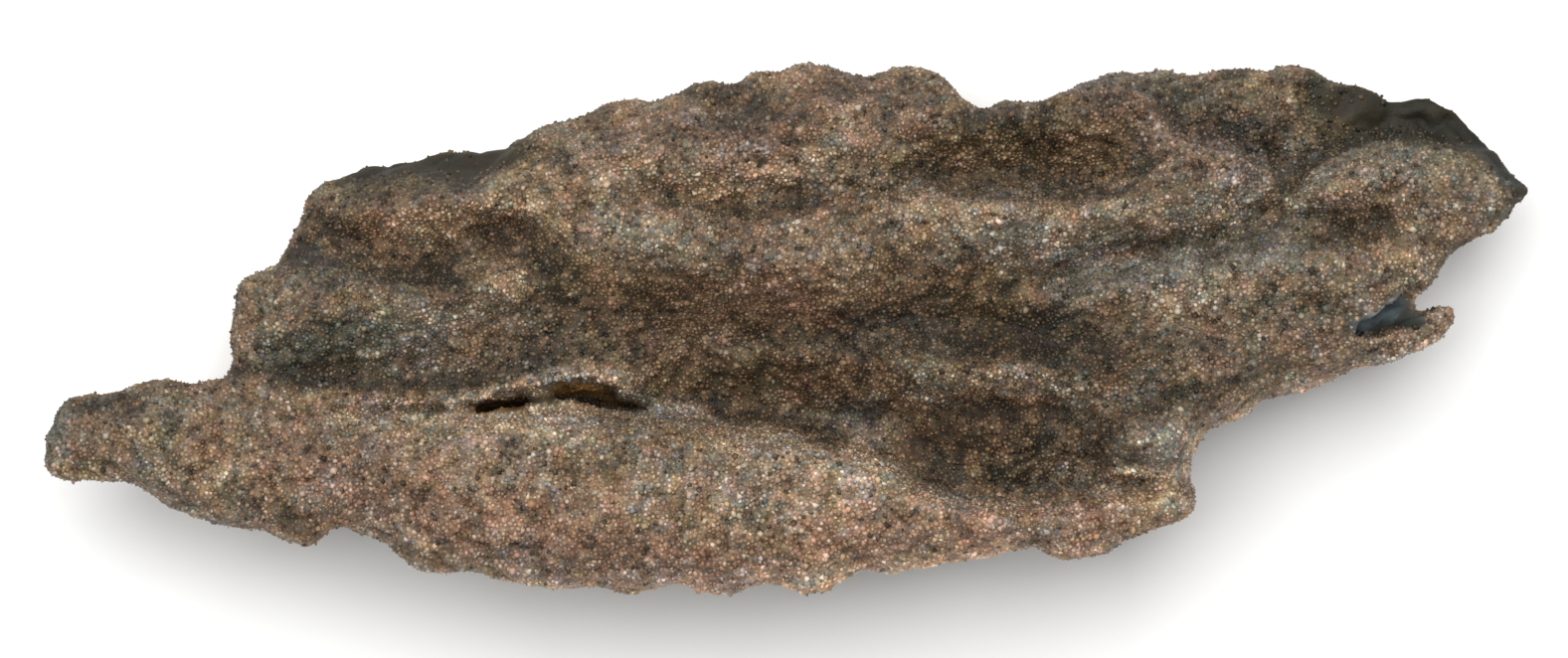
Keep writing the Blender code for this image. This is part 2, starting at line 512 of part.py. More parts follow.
def build():
    """Make the crust, then cut its hollows and its resting flats."""
    clear_scene()
    body_parts = new_collection(NAME)
    cutters = new_collection("cutters")
    outline = rim_outline()

    slab = flat_slab("slab", outline, SLAB_HALF, cutters)
    skin = working_skin(slab)
    bpy.data.objects.remove(slab, do_unlink=True)
    shape_crust(skin, outline)
    crust = bpy.data.objects.new(NAME, skin)
    body_parts.objects.link(crust)
    crust.data.materials.append(fused_sand_material())

    soften = crust.modifiers.new("soften", "SMOOTH")
    soften.factor = 0.5
    soften.iterations = SOFTEN_PASSES
    thin_out = crust.modifiers.new("thin_out", "DECIMATE")
    thin_out.ratio = min(1.0, CRUST_FACES / triangle_count(skin))
    cut(crust, slab_cutter("slit", SLIT, SLIT_FLOOR, SLIT_TOP, cutters, SLIT_LEVEL, SLIT_LEAN))
    cut(crust, tube_cutter("tube_bore", cutters))
    cut(crust, slab_cutter("mouth_break", MOUTH_BREAK, MOUTH_BREAK_FLOOR, MOUTH_BREAK_TOP, cutters))
    cut(crust, ground_cutter("ground", cutters))


build()
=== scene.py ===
"""Fulgurite: the sandy crust, its grains and a plain stage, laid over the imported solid.

Laid out as an add-on and run as a script: main() registers the classes, then calls each
operator in turn. Lengths are metres in the properties and millimetres in the lists of forms.
"""
import math

import bpy
import numpy as np
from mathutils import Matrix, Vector, noise


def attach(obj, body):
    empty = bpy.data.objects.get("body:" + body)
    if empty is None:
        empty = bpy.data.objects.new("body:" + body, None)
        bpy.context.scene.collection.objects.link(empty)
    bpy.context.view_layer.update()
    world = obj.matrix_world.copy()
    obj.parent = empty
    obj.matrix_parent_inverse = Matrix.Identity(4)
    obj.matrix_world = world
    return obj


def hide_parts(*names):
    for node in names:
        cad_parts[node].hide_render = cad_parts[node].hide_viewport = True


bl_info = {
    "name": "Fulgurite",
    "version": (1, 0, 0),
    "blender": (4, 5, 0),
    "location": "View3D > Sidebar > Fulgurite",
    "description": "Lays the sandy crust and the loose grains over the solid of a fulgurite",
    "category": "Object",
}

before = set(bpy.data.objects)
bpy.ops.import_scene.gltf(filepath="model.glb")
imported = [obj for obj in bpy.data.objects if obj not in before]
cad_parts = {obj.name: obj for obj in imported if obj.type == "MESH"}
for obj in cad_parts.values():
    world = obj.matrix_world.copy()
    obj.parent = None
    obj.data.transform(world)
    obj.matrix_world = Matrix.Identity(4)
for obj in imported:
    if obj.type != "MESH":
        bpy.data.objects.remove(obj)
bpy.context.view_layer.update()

NODE = "fulgurite"
BODY = "root"
MM = 0.001

# ---- Forms of the front face -----------------------------------------------------------------
# A stroke is (points (x, y), width, strength): a soft band along its points. Where its two sides
# differ, the width is (left, right) as one walks along the points, so that a narrow side makes a
# crisp edge. Points and widths are millimetres.

# Paths that several lists follow
LEFT_FLANGE = [(-28.0, 9.3), (-24.0, 10.0), (-16.5, 10.9)]
MOUTH = [(35.8, -0.1), (37.4, 0.7), (38.6, 1.4)]
THIRD_RIB = [(16.5, 2.8), (20.0, 3.8), (25.6, 4.8), (31.0, 6.1)]

# Raised and sunken bands: strength is the rise in millimetres at the band's middle
RELIEF = [
    # lumps in front of the left flange, and the flange behind them
    ([(-28.4, 8.6), (-24.9, 9.1), (-21.6, 9.1), (-20.6, 8.0), (-18.7, 9.3), (-16.6, 9.8)],
     (0.35, 1.5), 0.8),
    ([(-28.0, 9.3), (-24.9, 9.9), (-21.6, 9.9), (-20.3, 9.0), (-18.5, 10.2)], (1.4, 0.3), -0.6),
    # valley under them, with its pits
    ([(-28.4, 6.3), (-27.2, 6.2)], (0.8, 0.7), -0.5),
    ([(-22.0, 3.8), (-21.0, 3.8)], (0.7, 0.6), -0.5),
    ([(-18.5, 6.6), (-17.2, 6.3)], (0.8, 0.7), -0.8),
    # crisp top of the left bulge, and the round bump at its right end
    ([(-34.2, 2.9), (-32.1, 3.4), (-29.2, 4.2), (-28.1, 3.7), (-26.5, 3.2), (-23.2, 2.4),
      (-21.9, 2.2)], (0.35, 1.5), 0.8),
    ([(-19.6, 3.2), (-17.4, 2.8)], (1.1, 1.5), 0.8),
    ([(-15.9, 6.0), (-15.3, 3.5), (-15.7, 1.5)], 0.8, -0.6),
    # ledge of the body over the groove, rising over the slit, and the groove's thin line
    ([(-33.2, -4.0), (-28.8, -4.3), (-24.6, -4.6), (-20.6, -4.6), (-18.4, -4.2)], (0.8, 0.35), 0.6),
    ([(-19.2, -4.5), (-17.2, -4.0), (-15.8, -3.8), (-14.9, -3.5), (-13.9, -3.2),
      (-12.4, -3.1), (-11.4, -3.1), (-10.4, -3.3), (-9.9, -3.8)], (1.0, 0.42), 0.95),
    ([(-29.5, -5.0), (-24.6, -5.3), (-20.6, -5.4), (-19.3, -5.4)], 0.25, -0.25),
    # sill under the slit
    ([(-15.4, -4.8), (-13.6, -4.75), (-12.4, -4.9)], (0.25, 0.6), -0.5),
    # crown
    ([(-14.5, 11.5), (-11.0, 12.4)], (0.9, 1.5), 0.4),
    ([(-4.0, 13.9), (-0.5, 12.9)], (1.0, 1.2), -0.6),
    ([(-8.0, 8.4), (-4.0, 8.1)], 0.8, -0.4),
    ([(-13.5, 6.7), (-7.0, 7.3)], (0.9, 1.6), 0.4),
    # recess under the notch, down to the crisp upper edge of the second rib
    ([(8.5, 9.5), (14.0, 9.2), (19.0, 9.1), (22.5, 9.5)], (2.6, 0.3), -0.9),
    ([(6.5, 8.2), (14.0, 8.2), (20.0, 8.4), (24.0, 10.4), (28.0, 10.6)], (0.35, 1.8), 0.7),
    ([(24.5, 12.9), (28.5, 12.3)], 0.9, -0.4),
    # third rib, under its line valley
    ([(16.9, 3.7), (21.0, 4.7), (25.6, 5.6), (31.0, 7.0)], (0.8, 0.3), -0.5),
    (THIRD_RIB, (0.25, 1.6), 0.65),
    # lumps in front of the right flange
    ([(32.5, 9.1), (34.4, 10.5), (36.9, 11.3), (40.0, 11.6), (43.1, 10.8), (44.4, 9.9)],
     (0.35, 1.6), 0.8),
    ([(34.0, 11.3), (36.9, 12.1), (40.0, 12.4), (43.5, 11.5)], (1.8, 0.3), -0.5),
    ([(31.5, 12.5), (31.3, 10.0), (31.0, 7.5)], 0.9, -0.5),
    ([(33.8, 7.0), (36.2, 6.8)], (0.8, 0.9), -0.6),
    # fourth rib and the hollows over and under it
    ([(6.5, -1.2), (9.8, -1.9), (12.3, -2.1), (15.3, -2.4), (17.4, -3.4), (20.6, -4.0)],
     (0.3, 1.3), 0.7),
    ([(6.0, -4.9), (12.0, -4.8), (18.0, -5.1), (21.0, -6.2)], (0.3, 0.9), -0.5),
    # knobbly upper edge of the lobe
    ([(-12.4, -5.7), (-10.2, -5.6)], (0.4, 1.1), 0.5),
    ([(-5.9, -5.0), (-3.1, -6.6), (-1.4, -6.1), (0.6, -6.9), (2.5, -8.1), (5.2, -8.0),
      (7.2, -8.4), (8.6, -9.5), (10.5, -10.7), (13.0, -11.0), (17.4, -11.1)], (0.3, 1.4), 0.7),
    # block at the lobe's right end, its thin rim and the end knob under it
    ([(22.0, -6.8), (25.4, -6.8)], (1.2, 1.3), 0.5),
    ([(20.4, -9.0), (25.2, -8.9)], 0.25, 0.5),
    ([(19.8, -9.6), (25.4, -9.5)], (0.25, 0.22), -0.7),
    ([(20.0, -10.9), (24.8, -10.6)], (0.6, 1.0), 0.4),
]

# Sharp ends that the skin rounds off, drawn out again: (points, reach, (along x, along y))
DRAWN_OUT = [
    ([(46.2, 8.5), (46.5, 8.45)], 0.6, (0.5, 0.0)),
    ([(40.2, 14.4), (43.0, 12.7), (45.0, 10.4)], 0.8, (0.12, 0.16)),
    ([(35.6, 15.2), (37.0, 14.8)], 0.8, (0.05, 0.15)),
    ([(37.2, 14.3), (38.4, 14.0), (40.2, 14.3)], 0.7, (0.0, 0.13)),
    ([(-28.0, 9.6), (-25.0, 10.3), (-20.0, 11.1), (-17.0, 12.0)], 0.9, (-0.03, 0.08)),
    ([(41.6, 1.5), (42.1, 0.9)], 0.7, (0.14, 0.12)),
    ([(31.0, -4.3), (34.7, -3.0), (38.8, -1.9)], 0.8, (0.05, -0.14)),
]

# Painted light and painted shade on the crust, with some of its own darker and paler patches: bands
# whose strength is in stops, under 0 for painted shade, over 0 for painted light
PAINTED_LIGHT_AND_TONE_BANDS = [
    # left flange, behind its crest lumps, and the flank under its corner
    ([(-28.0, 9.2), (-24.9, 9.8), (-21.6, 9.8), (-20.3, 8.9), (-18.7, 10.0), (-16.4, 10.6)],
     (1.7, 0.35), -0.9),
    ([(-27.4, 8.2), (-25.0, 8.6), (-20.5, 9.2)], (1.0, 1.2), -0.85),
    ([(-22.4, 10.6), (-18.2, 10.6)], (0.8, 0.9), -1.05),
    ([(-26.4, 9.5), (-24.6, 9.9)], (0.7, 0.6), -1.1),
    ([(-31.4, 4.2), (-30.2, 5.8), (-29.4, 7.3)], (0.8, 1.0), -0.8),
    ([(-25.5, 5.9), (-21.0, 6.1), (-18.5, 7.2), (-16.3, 7.4)], (0.9, 0.8), 0.6),
    # valley over the left bulge, with its pits
    ([(-30.5, 4.4), (-28.1, 3.8), (-25.2, 3.1), (-20.4, 2.4)], (1.5, 1.1), -1.0),
    ([(-28.6, 6.3), (-27.0, 6.2)], (0.9, 0.8), -0.5),
    ([(-22.2, 3.6), (-20.8, 3.5)], 0.8, -0.3),
    ([(-19.4, 5.8), (-18.0, 5.6)], 0.9, -0.6),
    ([(-15.9, 6.3), (-15.2, 3.5), (-15.6, 1.3)], 0.9, -0.6),
    ([(-14.2, 4.8), (-14.0, 2.6), (-11.8, 0.2), (-10.4, -0.8)], 1.0, -0.65),
    # left bulge and the round bump beside it, blotches, and its underside down to the ledge
    ([(-25.5, -1.4), (-21.3, -0.3), (-17.5, 1.8), (-15.8, 2.4)], 0.9, 0.5),
    ([(-29.5, 0.4), (-26.0, -0.6)], (0.6, 0.9), -0.6),
    ([(-29.4, 1.9), (-27.9, 1.8)], 0.7, -0.6),
    ([(-29.6, -2.8), (-28.4, -3.2)], (0.8, 0.9), -0.5),
    ([(-24.6, 0.6), (-21.0, 0.2)], 0.8, 0.35),
    ([(-26.0, -2.4), (-22.6, -2.4), (-20.0, -2.6)], (0.7, 0.6), 0.8),
    ([(-22.3, -2.4), (-20.9, -2.5)], 0.7, 0.5),
    ([(-33.4, -1.6), (-31.6, -1.4)], 0.9, 0.45),
    ([(-33.1, -3.2), (-28.8, -3.3), (-24.6, -3.7), (-18.7, -3.4), (-15.6, -2.6)],
     (2.2, 0.35), -0.85),
    ([(-34.4, -3.4), (-33.4, -3.5)], 0.5, -0.5),
    ([(-24.4, -3.3), (-20.6, -4.0)], (0.7, 0.4), -0.5),
    ([(-16.0, -1.2), (-13.0, -1.8), (-11.0, -1.9)], 1.0, -0.35),
    ([(-10.2, -1.8), (-9.0, -3.4)], 0.7, 0.6),
    # ledge over the groove and the slit, the groove's line, the shadow right of the slit
    ([(-33.0, -4.2), (-30.6, -4.4), (-28.8, -4.5)], (0.35, 0.3), 0.3),
    ([(-27.8, -4.55), (-24.6, -4.8), (-22.6, -4.8)], (0.35, 0.3), 0.5),
    ([(-21.0, -4.8), (-19.2, -4.6), (-17.2, -4.1), (-15.8, -3.9), (-14.9, -3.6),
      (-13.9, -3.3), (-12.4, -3.2), (-11.4, -3.2), (-10.3, -3.45), (-9.7, -4.0)],
     (0.4, 0.35), 0.9),
    ([(-14.8, -3.0), (-12.5, -2.5), (-10.5, -2.9)], (0.8, 0.4), 0.5),
    ([(-19.3, -5.1), (-17.6, -4.9), (-16.3, -4.75)], (0.3, 0.35), -0.9),
    ([(-16.8, -4.85), (-16.2, -4.7)], 0.22, -1.2),
    ([(-19.0, -5.15), (-18.3, -5.1)], 0.22, -1.0),
    ([(-14.2, -4.0), (-12.6, -3.8), (-11.6, -3.9)], (0.35, 0.3), 2.0),
    ([(-16.2, -4.6), (-15.2, -4.5), (-14.4, -4.45)], 0.1, -1.2),
    ([(-15.9, -4.25), (-14.9, -4.1)], (0.2, 0.15), 1.4),
    ([(-12.8, -4.5), (-11.0, -4.75), (-9.2, -4.8)], 0.15, -1.8),
    ([(-10.3, -4.8), (-9.4, -4.75), (-8.7, -4.65)], 0.2, -0.8),
    ([(-15.8, -4.95), (-13.4, -4.8)], (0.2, 0.35), 1.5),
    ([(-27.0, -5.3), (-22.0, -5.6), (-16.0, -5.6), (-12.4, -5.6)], (0.5, 1.1), 0.8),
    ([(-11.2, -5.6), (-9.4, -5.8)], 0.5, -0.4),
    ([(-8.6, -4.9), (-6.4, -4.4)], 0.8, 0.45),
    # crown and its lumps
    ([(-14.0, 10.5), (-6.0, 11.5)], 2.4, 0.2),
    ([(-15.2, 10.9), (-14.0, 10.6)], 0.8, -0.6),
    ([(-12.0, 13.4), (-10.6, 12.0), (-10.5, 11.0)], 0.9, -0.85),
    ([(-11.0, 9.6), (-9.5, 9.8)], 0.8, 0.4),
    ([(-5.4, 8.6), (-3.0, 8.6), (-1.4, 9.8), (1.2, 9.9)], (0.9, 0.8), 0.75),
    ([(-9.2, 8.4), (-7.4, 8.0)], (0.8, 0.9), -0.45),
    ([(-13.5, 5.9), (-7.0, 6.6)], (1.0, 1.4), 0.2),
    ([(4.2, 12.6), (6.2, 10.8), (10.4, 10.6)], (1.1, 0.9), 0.6),
    ([(-12.2, 4.2), (-11.2, 4.0)], 0.9, 0.4),
    ([(-11.6, 8.9), (-9.8, 9.4)], 0.8, 0.5),
    ([(-18.0, 4.4), (-15.0, 4.0), (-13.0, 3.6)], 0.8, -0.4),
    ([(-8.6, 2.6), (-7.4, 1.8)], 0.8, -0.5),
    ([(-3.4, 7.1), (-1.2, 7.3), (1.8, 8.1)], (0.8, 0.6), -0.85),
    ([(0.6, 6.8), (0.8, 5.6)], 0.6, 0.5),
    ([(-7.0, 11.9), (-2.6, 12.4), (1.0, 12.6)], (1.1, 1.0), -0.85),
    ([(1.0, 14.8), (4.2, 14.6), (9.4, 15.0)], 1.1, -0.45),
    ([(-3.4, 15.4), (-1.8, 15.0), (-1.6, 13.8)], (0.8, 0.9), -0.8),
    ([(-5.8, 14.8), (-4.2, 14.6)], (1.0, 0.8), -0.9),
    # recess under the notch
    ([(7.0, 9.4), (10.6, 9.2), (14.0, 8.9), (19.0, 8.9), (22.4, 9.0)], (2.6, 0.5), -0.4),
    ([(9.0, 11.8), (12.2, 12.8), (14.0, 12.0), (16.4, 12.2)], 1.2, -0.5),
    ([(12.0, 13.0), (14.0, 13.1)], (0.8, 0.9), -0.9),
    ([(12.0, 14.0), (16.8, 14.3)], 0.4, 0.4),
    ([(13.0, 10.7), (20.0, 10.3)], (0.5, 0.6), 0.7),
    ([(19.8, 9.1), (21.0, 9.1)], (0.6, 0.5), 0.9),
    ([(14.6, 13.8), (21.0, 14.0), (26.0, 14.2), (30.0, 13.8)], 1.3, -0.7),
    ([(20.8, 11.5), (22.0, 11.4)], 0.7, -0.4),
    ([(24.5, 12.9), (28.5, 12.0), (30.0, 11.6)], 1.1, -0.75),
    ([(28.4, 11.6), (28.6, 9.4)], 0.9, -0.35),
    ([(27.6, 16.1), (29.0, 16.2)], 0.6, -0.8),
    # middle ridge, second rib under its shaded upper edge, and the line valley under it
    ([(12.0, 8.4), (14.6, 8.0), (19.0, 8.4), (22.6, 8.5), (26.0, 9.2)], (0.5, 0.6), -0.75),
    ([(6.5, 7.6), (14.0, 7.2), (20.0, 7.4), (24.0, 8.3), (28.0, 9.3)], (0.6, 1.8), 0.3),
    ([(8.0, 5.8), (11.0, 6.0)], 0.9, 0.5),
    ([(22.4, 6.2), (23.6, 5.9)], 0.6, -0.3),
    ([(6.6, 8.9), (6.6, 7.4), (5.6, 5.4)], (0.9, 0.8), -0.65),
    ([(-5.8, 4.6), (-4.2, 4.4)], 0.8, -0.6),
    ([(16.5, 4.5), (19.0, 4.6), (21.6, 4.5)], (0.7, 0.6), 1.0),
    ([(24.2, 6.3), (25.2, 6.2)], 0.6, 0.5),
    ([(25.6, 6.4), (28.0, 7.0), (30.6, 7.2)], (0.7, 0.6), 0.8),
    ([(12.2, 5.4), (13.6, 4.8)], 0.8, 0.6),
    ([(30.0, 7.8), (31.4, 8.6), (33.0, 8.0)], 0.7, -0.35),
    # third rib
    (THIRD_RIB, (0.3, 1.8), 0.15),
    ([(26.6, 4.6), (30.0, 5.6), (34.6, 5.6)], 0.7, -0.5),
    ([(22.4, 1.3), (26.2, 1.7)], 0.8, 0.5),
    # long slope under the crown and its two streaks
    ([(-13.0, 1.0), (-8.0, 1.4)], (1.4, 1.2), -0.35),
    ([(-6.4, 2.4), (-4.0, 4.0), (0.4, 4.4)], (0.9, 0.8), -0.35),
    ([(-6.8, 1.2), (-5.6, 1.2)], 0.6, 0.4),
    ([(-0.6, 1.2), (1.6, 1.0)], 0.7, 0.25),
    ([(-7.0, -0.6), (-2.0, -1.4), (2.5, -2.0)], (0.8, 1.0), 0.4),
    ([(3.8, 2.7), (4.8, 1.6)], 0.9, 0.5),
    ([(6.8, 3.8), (8.6, 2.9), (10.8, 4.3)], 1.0, -0.75),
    ([(13.2, 2.6), (14.6, 1.2), (15.8, 1.2)], 1.1, -0.95),
    ([(9.7, 2.3), (10.8, 2.0)], 0.7, -0.9),
    ([(9.4, 0.1), (11.0, -0.1)], (0.7, 0.6), 0.55),
    ([(4.0, 0.9), (8.6, 0.2), (12.0, -0.6), (16.0, -0.3), (21.0, -1.2), (26.6, -1.0)], 1.0, -0.85),
    ([(17.0, 2.0), (21.0, 2.3)], 0.8, -0.35),
    ([(-2.5, -0.2), (6.0, -1.2), (12.0, -1.3), (16.0, -1.5)], (1.2, 1.0), -0.7),
    ([(16.9, -2.3), (19.8, -2.4)], (1.0, 0.8), -1.2),
    ([(10.8, -2.4), (12.6, -2.5)], (0.7, 0.6), -0.5),
    ([(13.9, -2.2), (14.6, -2.6)], 0.6, 0.5),
    ([(15.4, -1.4), (16.3, -2.3)], 0.7, -0.8),
    ([(-8.0, -2.2), (0.0, -2.8), (6.8, -3.2)], 1.5, -0.6),
    ([(-4.8, -5.4), (-3.0, -2.8)], 0.9, -0.4),
    ([(8.0, -3.2), (12.0, -3.4), (16.0, -3.8), (20.5, -4.3)], 0.6, 0.45),
    ([(20.0, -2.6), (21.8, -3.0)], 0.7, 0.5),
    ([(18.4, -5.2), (20.0, -5.0)], 0.7, 0.9),
    ([(5.5, -4.4), (11.5, -4.9)], (0.5, 0.6), 0.8),
    ([(6.9, -3.6), (7.8, -4.0)], 0.6, 0.5),
    ([(8.6, -5.1), (12.0, -5.2), (18.0, -5.4), (22.0, -5.7), (24.0, -4.0), (28.0, -3.6)],
     (0.6, 0.9), -0.7),
    ([(13.4, -4.6), (14.6, -6.2), (16.2, -6.6)], (0.8, 0.9), -0.7),
    ([(8.4, -7.0), (11.0, -7.0), (13.6, -7.3), (16.0, -8.0), (20.0, -7.4)], (1.1, 0.8), -1.0),
    ([(6.5, -9.4), (10.0, -9.6), (13.8, -9.6), (18.6, -9.9)], 0.7, -0.7),
    ([(15.6, -8.8), (18.6, -8.4)], 0.6, 0.8),
    ([(9.0, -8.2), (9.8, -8.3)], 0.8, -0.8),
    ([(12.8, -8.8), (14.4, -9.1)], (0.9, 0.7), -0.9),
    # knobs between the slope and the lobe
    ([(4.6, -6.8), (6.2, -6.5), (8.2, -5.5)], (0.8, 1.0), 0.7),
    # lumps in front of the right flange, and the flange behind them
    ([(33.6, 10.3), (34.4, 11.1), (36.9, 12.1), (40.0, 12.3), (43.5, 11.4), (45.0, 10.1)],
     (2.4, 0.35), -1.0),
    ([(34.2, 14.8), (38.0, 14.2), (41.0, 13.7), (43.6, 12.0)], (1.5, 1.4), -1.7),
    ([(44.2, 11.3), (45.2, 10.0)], (0.7, 0.8), -0.9),
    ([(45.5, 9.2), (46.5, 8.5)], 0.6, -1.5),
    ([(31.6, 9.9), (32.0, 11.6), (33.4, 11.5)], 0.7, 0.6),
    ([(31.2, 15.9), (32.6, 15.4)], 0.8, -0.6),
    ([(37.4, 11.9), (39.4, 11.9), (42.4, 11.3)], 0.5, -0.6),
    ([(34.2, 6.3), (36.0, 5.8)], (0.6, 0.8), -0.5),
    ([(33.4, 7.6), (35.2, 7.6)], 0.5, 0.5),
    ([(37.6, 8.6), (38.2, 4.4)], 0.8, -0.45),
    ([(33.6, 3.4), (36.6, 1.4)], 1.1, 0.35),
    ([(40.5, 7.4), (44.0, 7.4)], 1.0, 0.2),
    ([(38.8, 4.6), (40.4, 2.8), (39.0, 2.2)], 0.8, 0.9),
    ([(30.0, -0.9), (35.2, -0.6)], (0.7, 0.6), -0.4),
    ([(32.0, 2.8), (32.8, 1.8)], 0.7, -0.6),
    # lobe: its shaded left end and upper edge, its bright back, its patches
    ([(-45.3, -4.5), (-43.0, -4.5), (-39.4, -3.9), (-37.8, -3.7)], 0.5, -0.7),
    ([(-44.5, -5.0), (-42.0, -4.8), (-39.5, -5.6), (-37.0, -6.2)], (0.8, 0.9), -0.65),
    ([(-46.3, -8.0), (-45.7, -5.5)], 0.6, -0.5),
    ([(-38.8, -7.0), (-37.8, -9.0)], 0.8, -0.35),
    ([(-40.5, -9.6), (-35.5, -11.0), (-33.0, -11.0)], 0.9, -0.45),
    ([(-34.2, -6.9), (-29.0, -7.8)], (0.7, 0.8), -0.45),
    ([(-27.8, -6.4), (-26.6, -6.6)], 0.7, -0.5),
    ([(-38.0, -8.4), (-27.0, -8.8), (-15.0, -9.3), (-8.0, -10.2), (0.0, -11.0), (8.0, -11.7),
      (18.0, -12.4)], 3.0, 0.3),
    ([(-15.0, -9.8), (-13.4, -10.0)], 0.8, 0.4),
    ([(-8.4, -9.4), (-5.6, -9.7)], (1.2, 1.4), 0.4),
    ([(-1.6, -10.4), (3.5, -10.4)], 1.8, 0.4),
    ([(-4.8, -10.7), (-3.6, -10.8)], 0.7, -0.4),
    ([(-5.9, -5.0), (-3.1, -6.7), (-1.4, -6.2), (0.6, -7.0), (2.5, -8.2), (5.2, -8.1),
      (7.2, -8.7), (8.6, -9.8), (10.5, -10.8), (13.0, -11.1), (17.4, -11.2)], (0.25, 1.4), 0.6),
    ([(-7.0, -4.5), (-5.5, -4.4), (-3.1, -5.9), (-1.4, -5.4), (0.6, -6.1), (2.8, -7.1)],
     (0.7, 0.3), -0.75),
    ([(-31.0, -11.6), (-29.6, -12.8)], (0.9, 1.0), -1.0),
    ([(-25.4, -9.2), (-23.4, -10.0), (-21.4, -10.9)], 0.9, -0.5),
    ([(-23.4, -13.9), (-20.8, -14.3)], 0.8, -0.5),
    ([(-12.4, -13.6), (-10.6, -14.0), (-8.8, -14.8)], 0.9, -0.6),
    ([(-4.6, -15.0), (-3.2, -15.2)], 0.8, -0.7),
    ([(-17.6, -15.8), (-12.0, -16.2)], (0.4, 0.5), 0.7),
    ([(-17.6, -12.4), (-16.4, -12.6)], 0.9, 0.5),
    ([(-13.2, -8.9), (-11.4, -8.9)], 0.6, -0.6),
    ([(8.0, -11.6), (13.5, -12.0), (19.4, -12.0)], (0.8, 0.9), -0.45),
    # block at the lobe's right end, its thin rim and the end knob
    ([(22.4, -6.6), (25.6, -6.9)], (1.3, 1.4), 0.5),
    ([(20.6, -6.6), (21.0, -8.2)], 0.7, -0.5),
    ([(20.4, -9.1), (25.2, -9.0)], (0.35, 0.4), 0.9),
    ([(19.6, -9.65), (25.4, -9.55)], (0.25, 0.22), -0.2),
    ([(21.0, -10.2), (24.8, -10.3)], (0.9, 1.4), 0.6),
    ([(25.0, -10.2), (25.4, -10.6)], 0.3, -0.8),
    # lower rim, painted light up to its edge
    ([(-42.0, -9.8), (-38.0, -10.9), (-33.0, -12.7), (-27.0, -13.2), (-22.0, -15.2),
      (-10.0, -16.4), (2.0, -16.4), (14.0, -14.6), (22.0, -13.2), (25.6, -11.6)],
     (1.1, 1.5), 0.5),
    ([(-8.0, -15.6), (0.0, -15.6), (8.0, -14.8), (14.0, -14.1)], 1.0, 0.8),
    ([(26.0, -7.4), (29.0, -5.2), (34.0, -3.7), (41.0, -1.6)], (1.2, 1.4), 1.1),
    # mouth of the tube, with painted light and painted shade in it, and painted light at the slit's
    # right end
    ([(36.4, 0.1), (37.4, 0.6), (38.4, 0.9)], (0.6, 0.4), 1.7),
    ([(-10.4, -4.15), (-9.3, -4.35)], (0.25, 0.2), 1.3),
    ([(38.4, 0.2), (39.6, 0.4)], (0.35, 0.3), -1.6),
]

# Smooth, glassy bands that hold no grains: strength is the share of grains left out
BARE = [
    ([(-27.6, 9.6), (-24.9, 10.1), (-21.6, 10.2), (-20.4, 9.7), (-17.2, 11.0)], (1.3, 0.4), 1.1),
    ([(35.4, 13.4), (37.4, 13.3), (40.0, 13.5), (43.4, 12.0), (45.0, 10.4)], (1.6, 0.7), 1.25),
    ([(45.7, 9.1), (46.5, 8.5)], 0.5, 0.8),
    (MOUTH, (0.7, 0.5), 1.5),
    ([(38.0, 0.5), (39.7, 0.6)], (0.45, 0.35), 1.4),
    ([(-19.2, -5.1), (-15.6, -4.4), (-13.4, -4.0), (-11.0, -4.2)], (0.5, 0.3), 0.7),
    ([(-4.4, -3.2), (-1.0, -2.8)], 1.2, 0.4),
    ([(8.0, -7.0), (11.0, -6.8)], (1.2, 1.0), 0.4),
]

# Cooler and warmer bands: strength under 0 for grey sand, over 0 for rusty sand
WARMTH = [
    ([(18.0, 3.4), (26.0, 4.4), (31.0, 5.0)], (1.6, 1.8), -1.1),
    ([(28.0, 9.4), (33.0, 10.5), (40.0, 11.0)], 1.6, -0.6),
    ([(14.0, 5.8), (15.4, 6.0)], 1.0, -1.0),
    ([(-31.5, -1.5), (-28.0, -0.6), (-22.5, -1.0)], 1.4, -1.0),
    ([(3.4, -5.4), (5.2, -5.4)], 1.0, -0.9),
    # the next two give the painted shadow right of the slit its blue-grey: painted shade
    ([(-11.2, -4.4), (-9.0, -4.6)], 0.5, -1.4),
    ([(-8.6, -4.6), (-7.2, -5.0)], 0.9, -0.8),
    ([(21.0, -5.5), (24.5, -8.6)], 1.8, -0.5),
    ([(-46.2, -8.0), (-45.4, -5.0)], 1.0, -0.7),
    ([(45.2, 9.4), (46.5, 8.5)], 0.8, -1.2),
    ([(36.0, 0.1), (37.4, 0.8), (38.4, 1.4)], (0.6, 0.5), -2.0),
    ([(-29.0, 6.8), (-25.0, 5.4), (-19.0, 6.0), (-16.0, 5.6)], (1.2, 1.4), 1.0),
    (LEFT_FLANGE, (1.2, 1.0), 0.9),
    ([(35.0, 13.6), (40.0, 13.4), (43.0, 12.4)], 1.4, 0.5),
    ([(-12.0, 3.0), (-6.0, 2.4), (2.0, 1.6), (7.0, 3.6), (15.0, 1.0)], (2.0, 2.4), 0.9),
    ([(-7.0, -2.6), (0.0, -3.2), (6.0, -3.0)], 1.3, 1.3),
    ([(8.0, -6.6), (11.0, -6.6), (15.0, -5.4)], 1.3, 1.4),
    ([(8.0, 11.4), (12.0, 11.4), (20.0, 10.8)], (1.6, 1.4), 1.1),
    ([(-14.0, 10.0), (2.0, 11.5)], 3.0, 0.3),
    ([(-34.0, -8.0), (-20.0, -11.0), (2.0, -13.5), (14.0, -12.5), (22.0, -11.5)], (2.4, 3.0), 0.5),
]

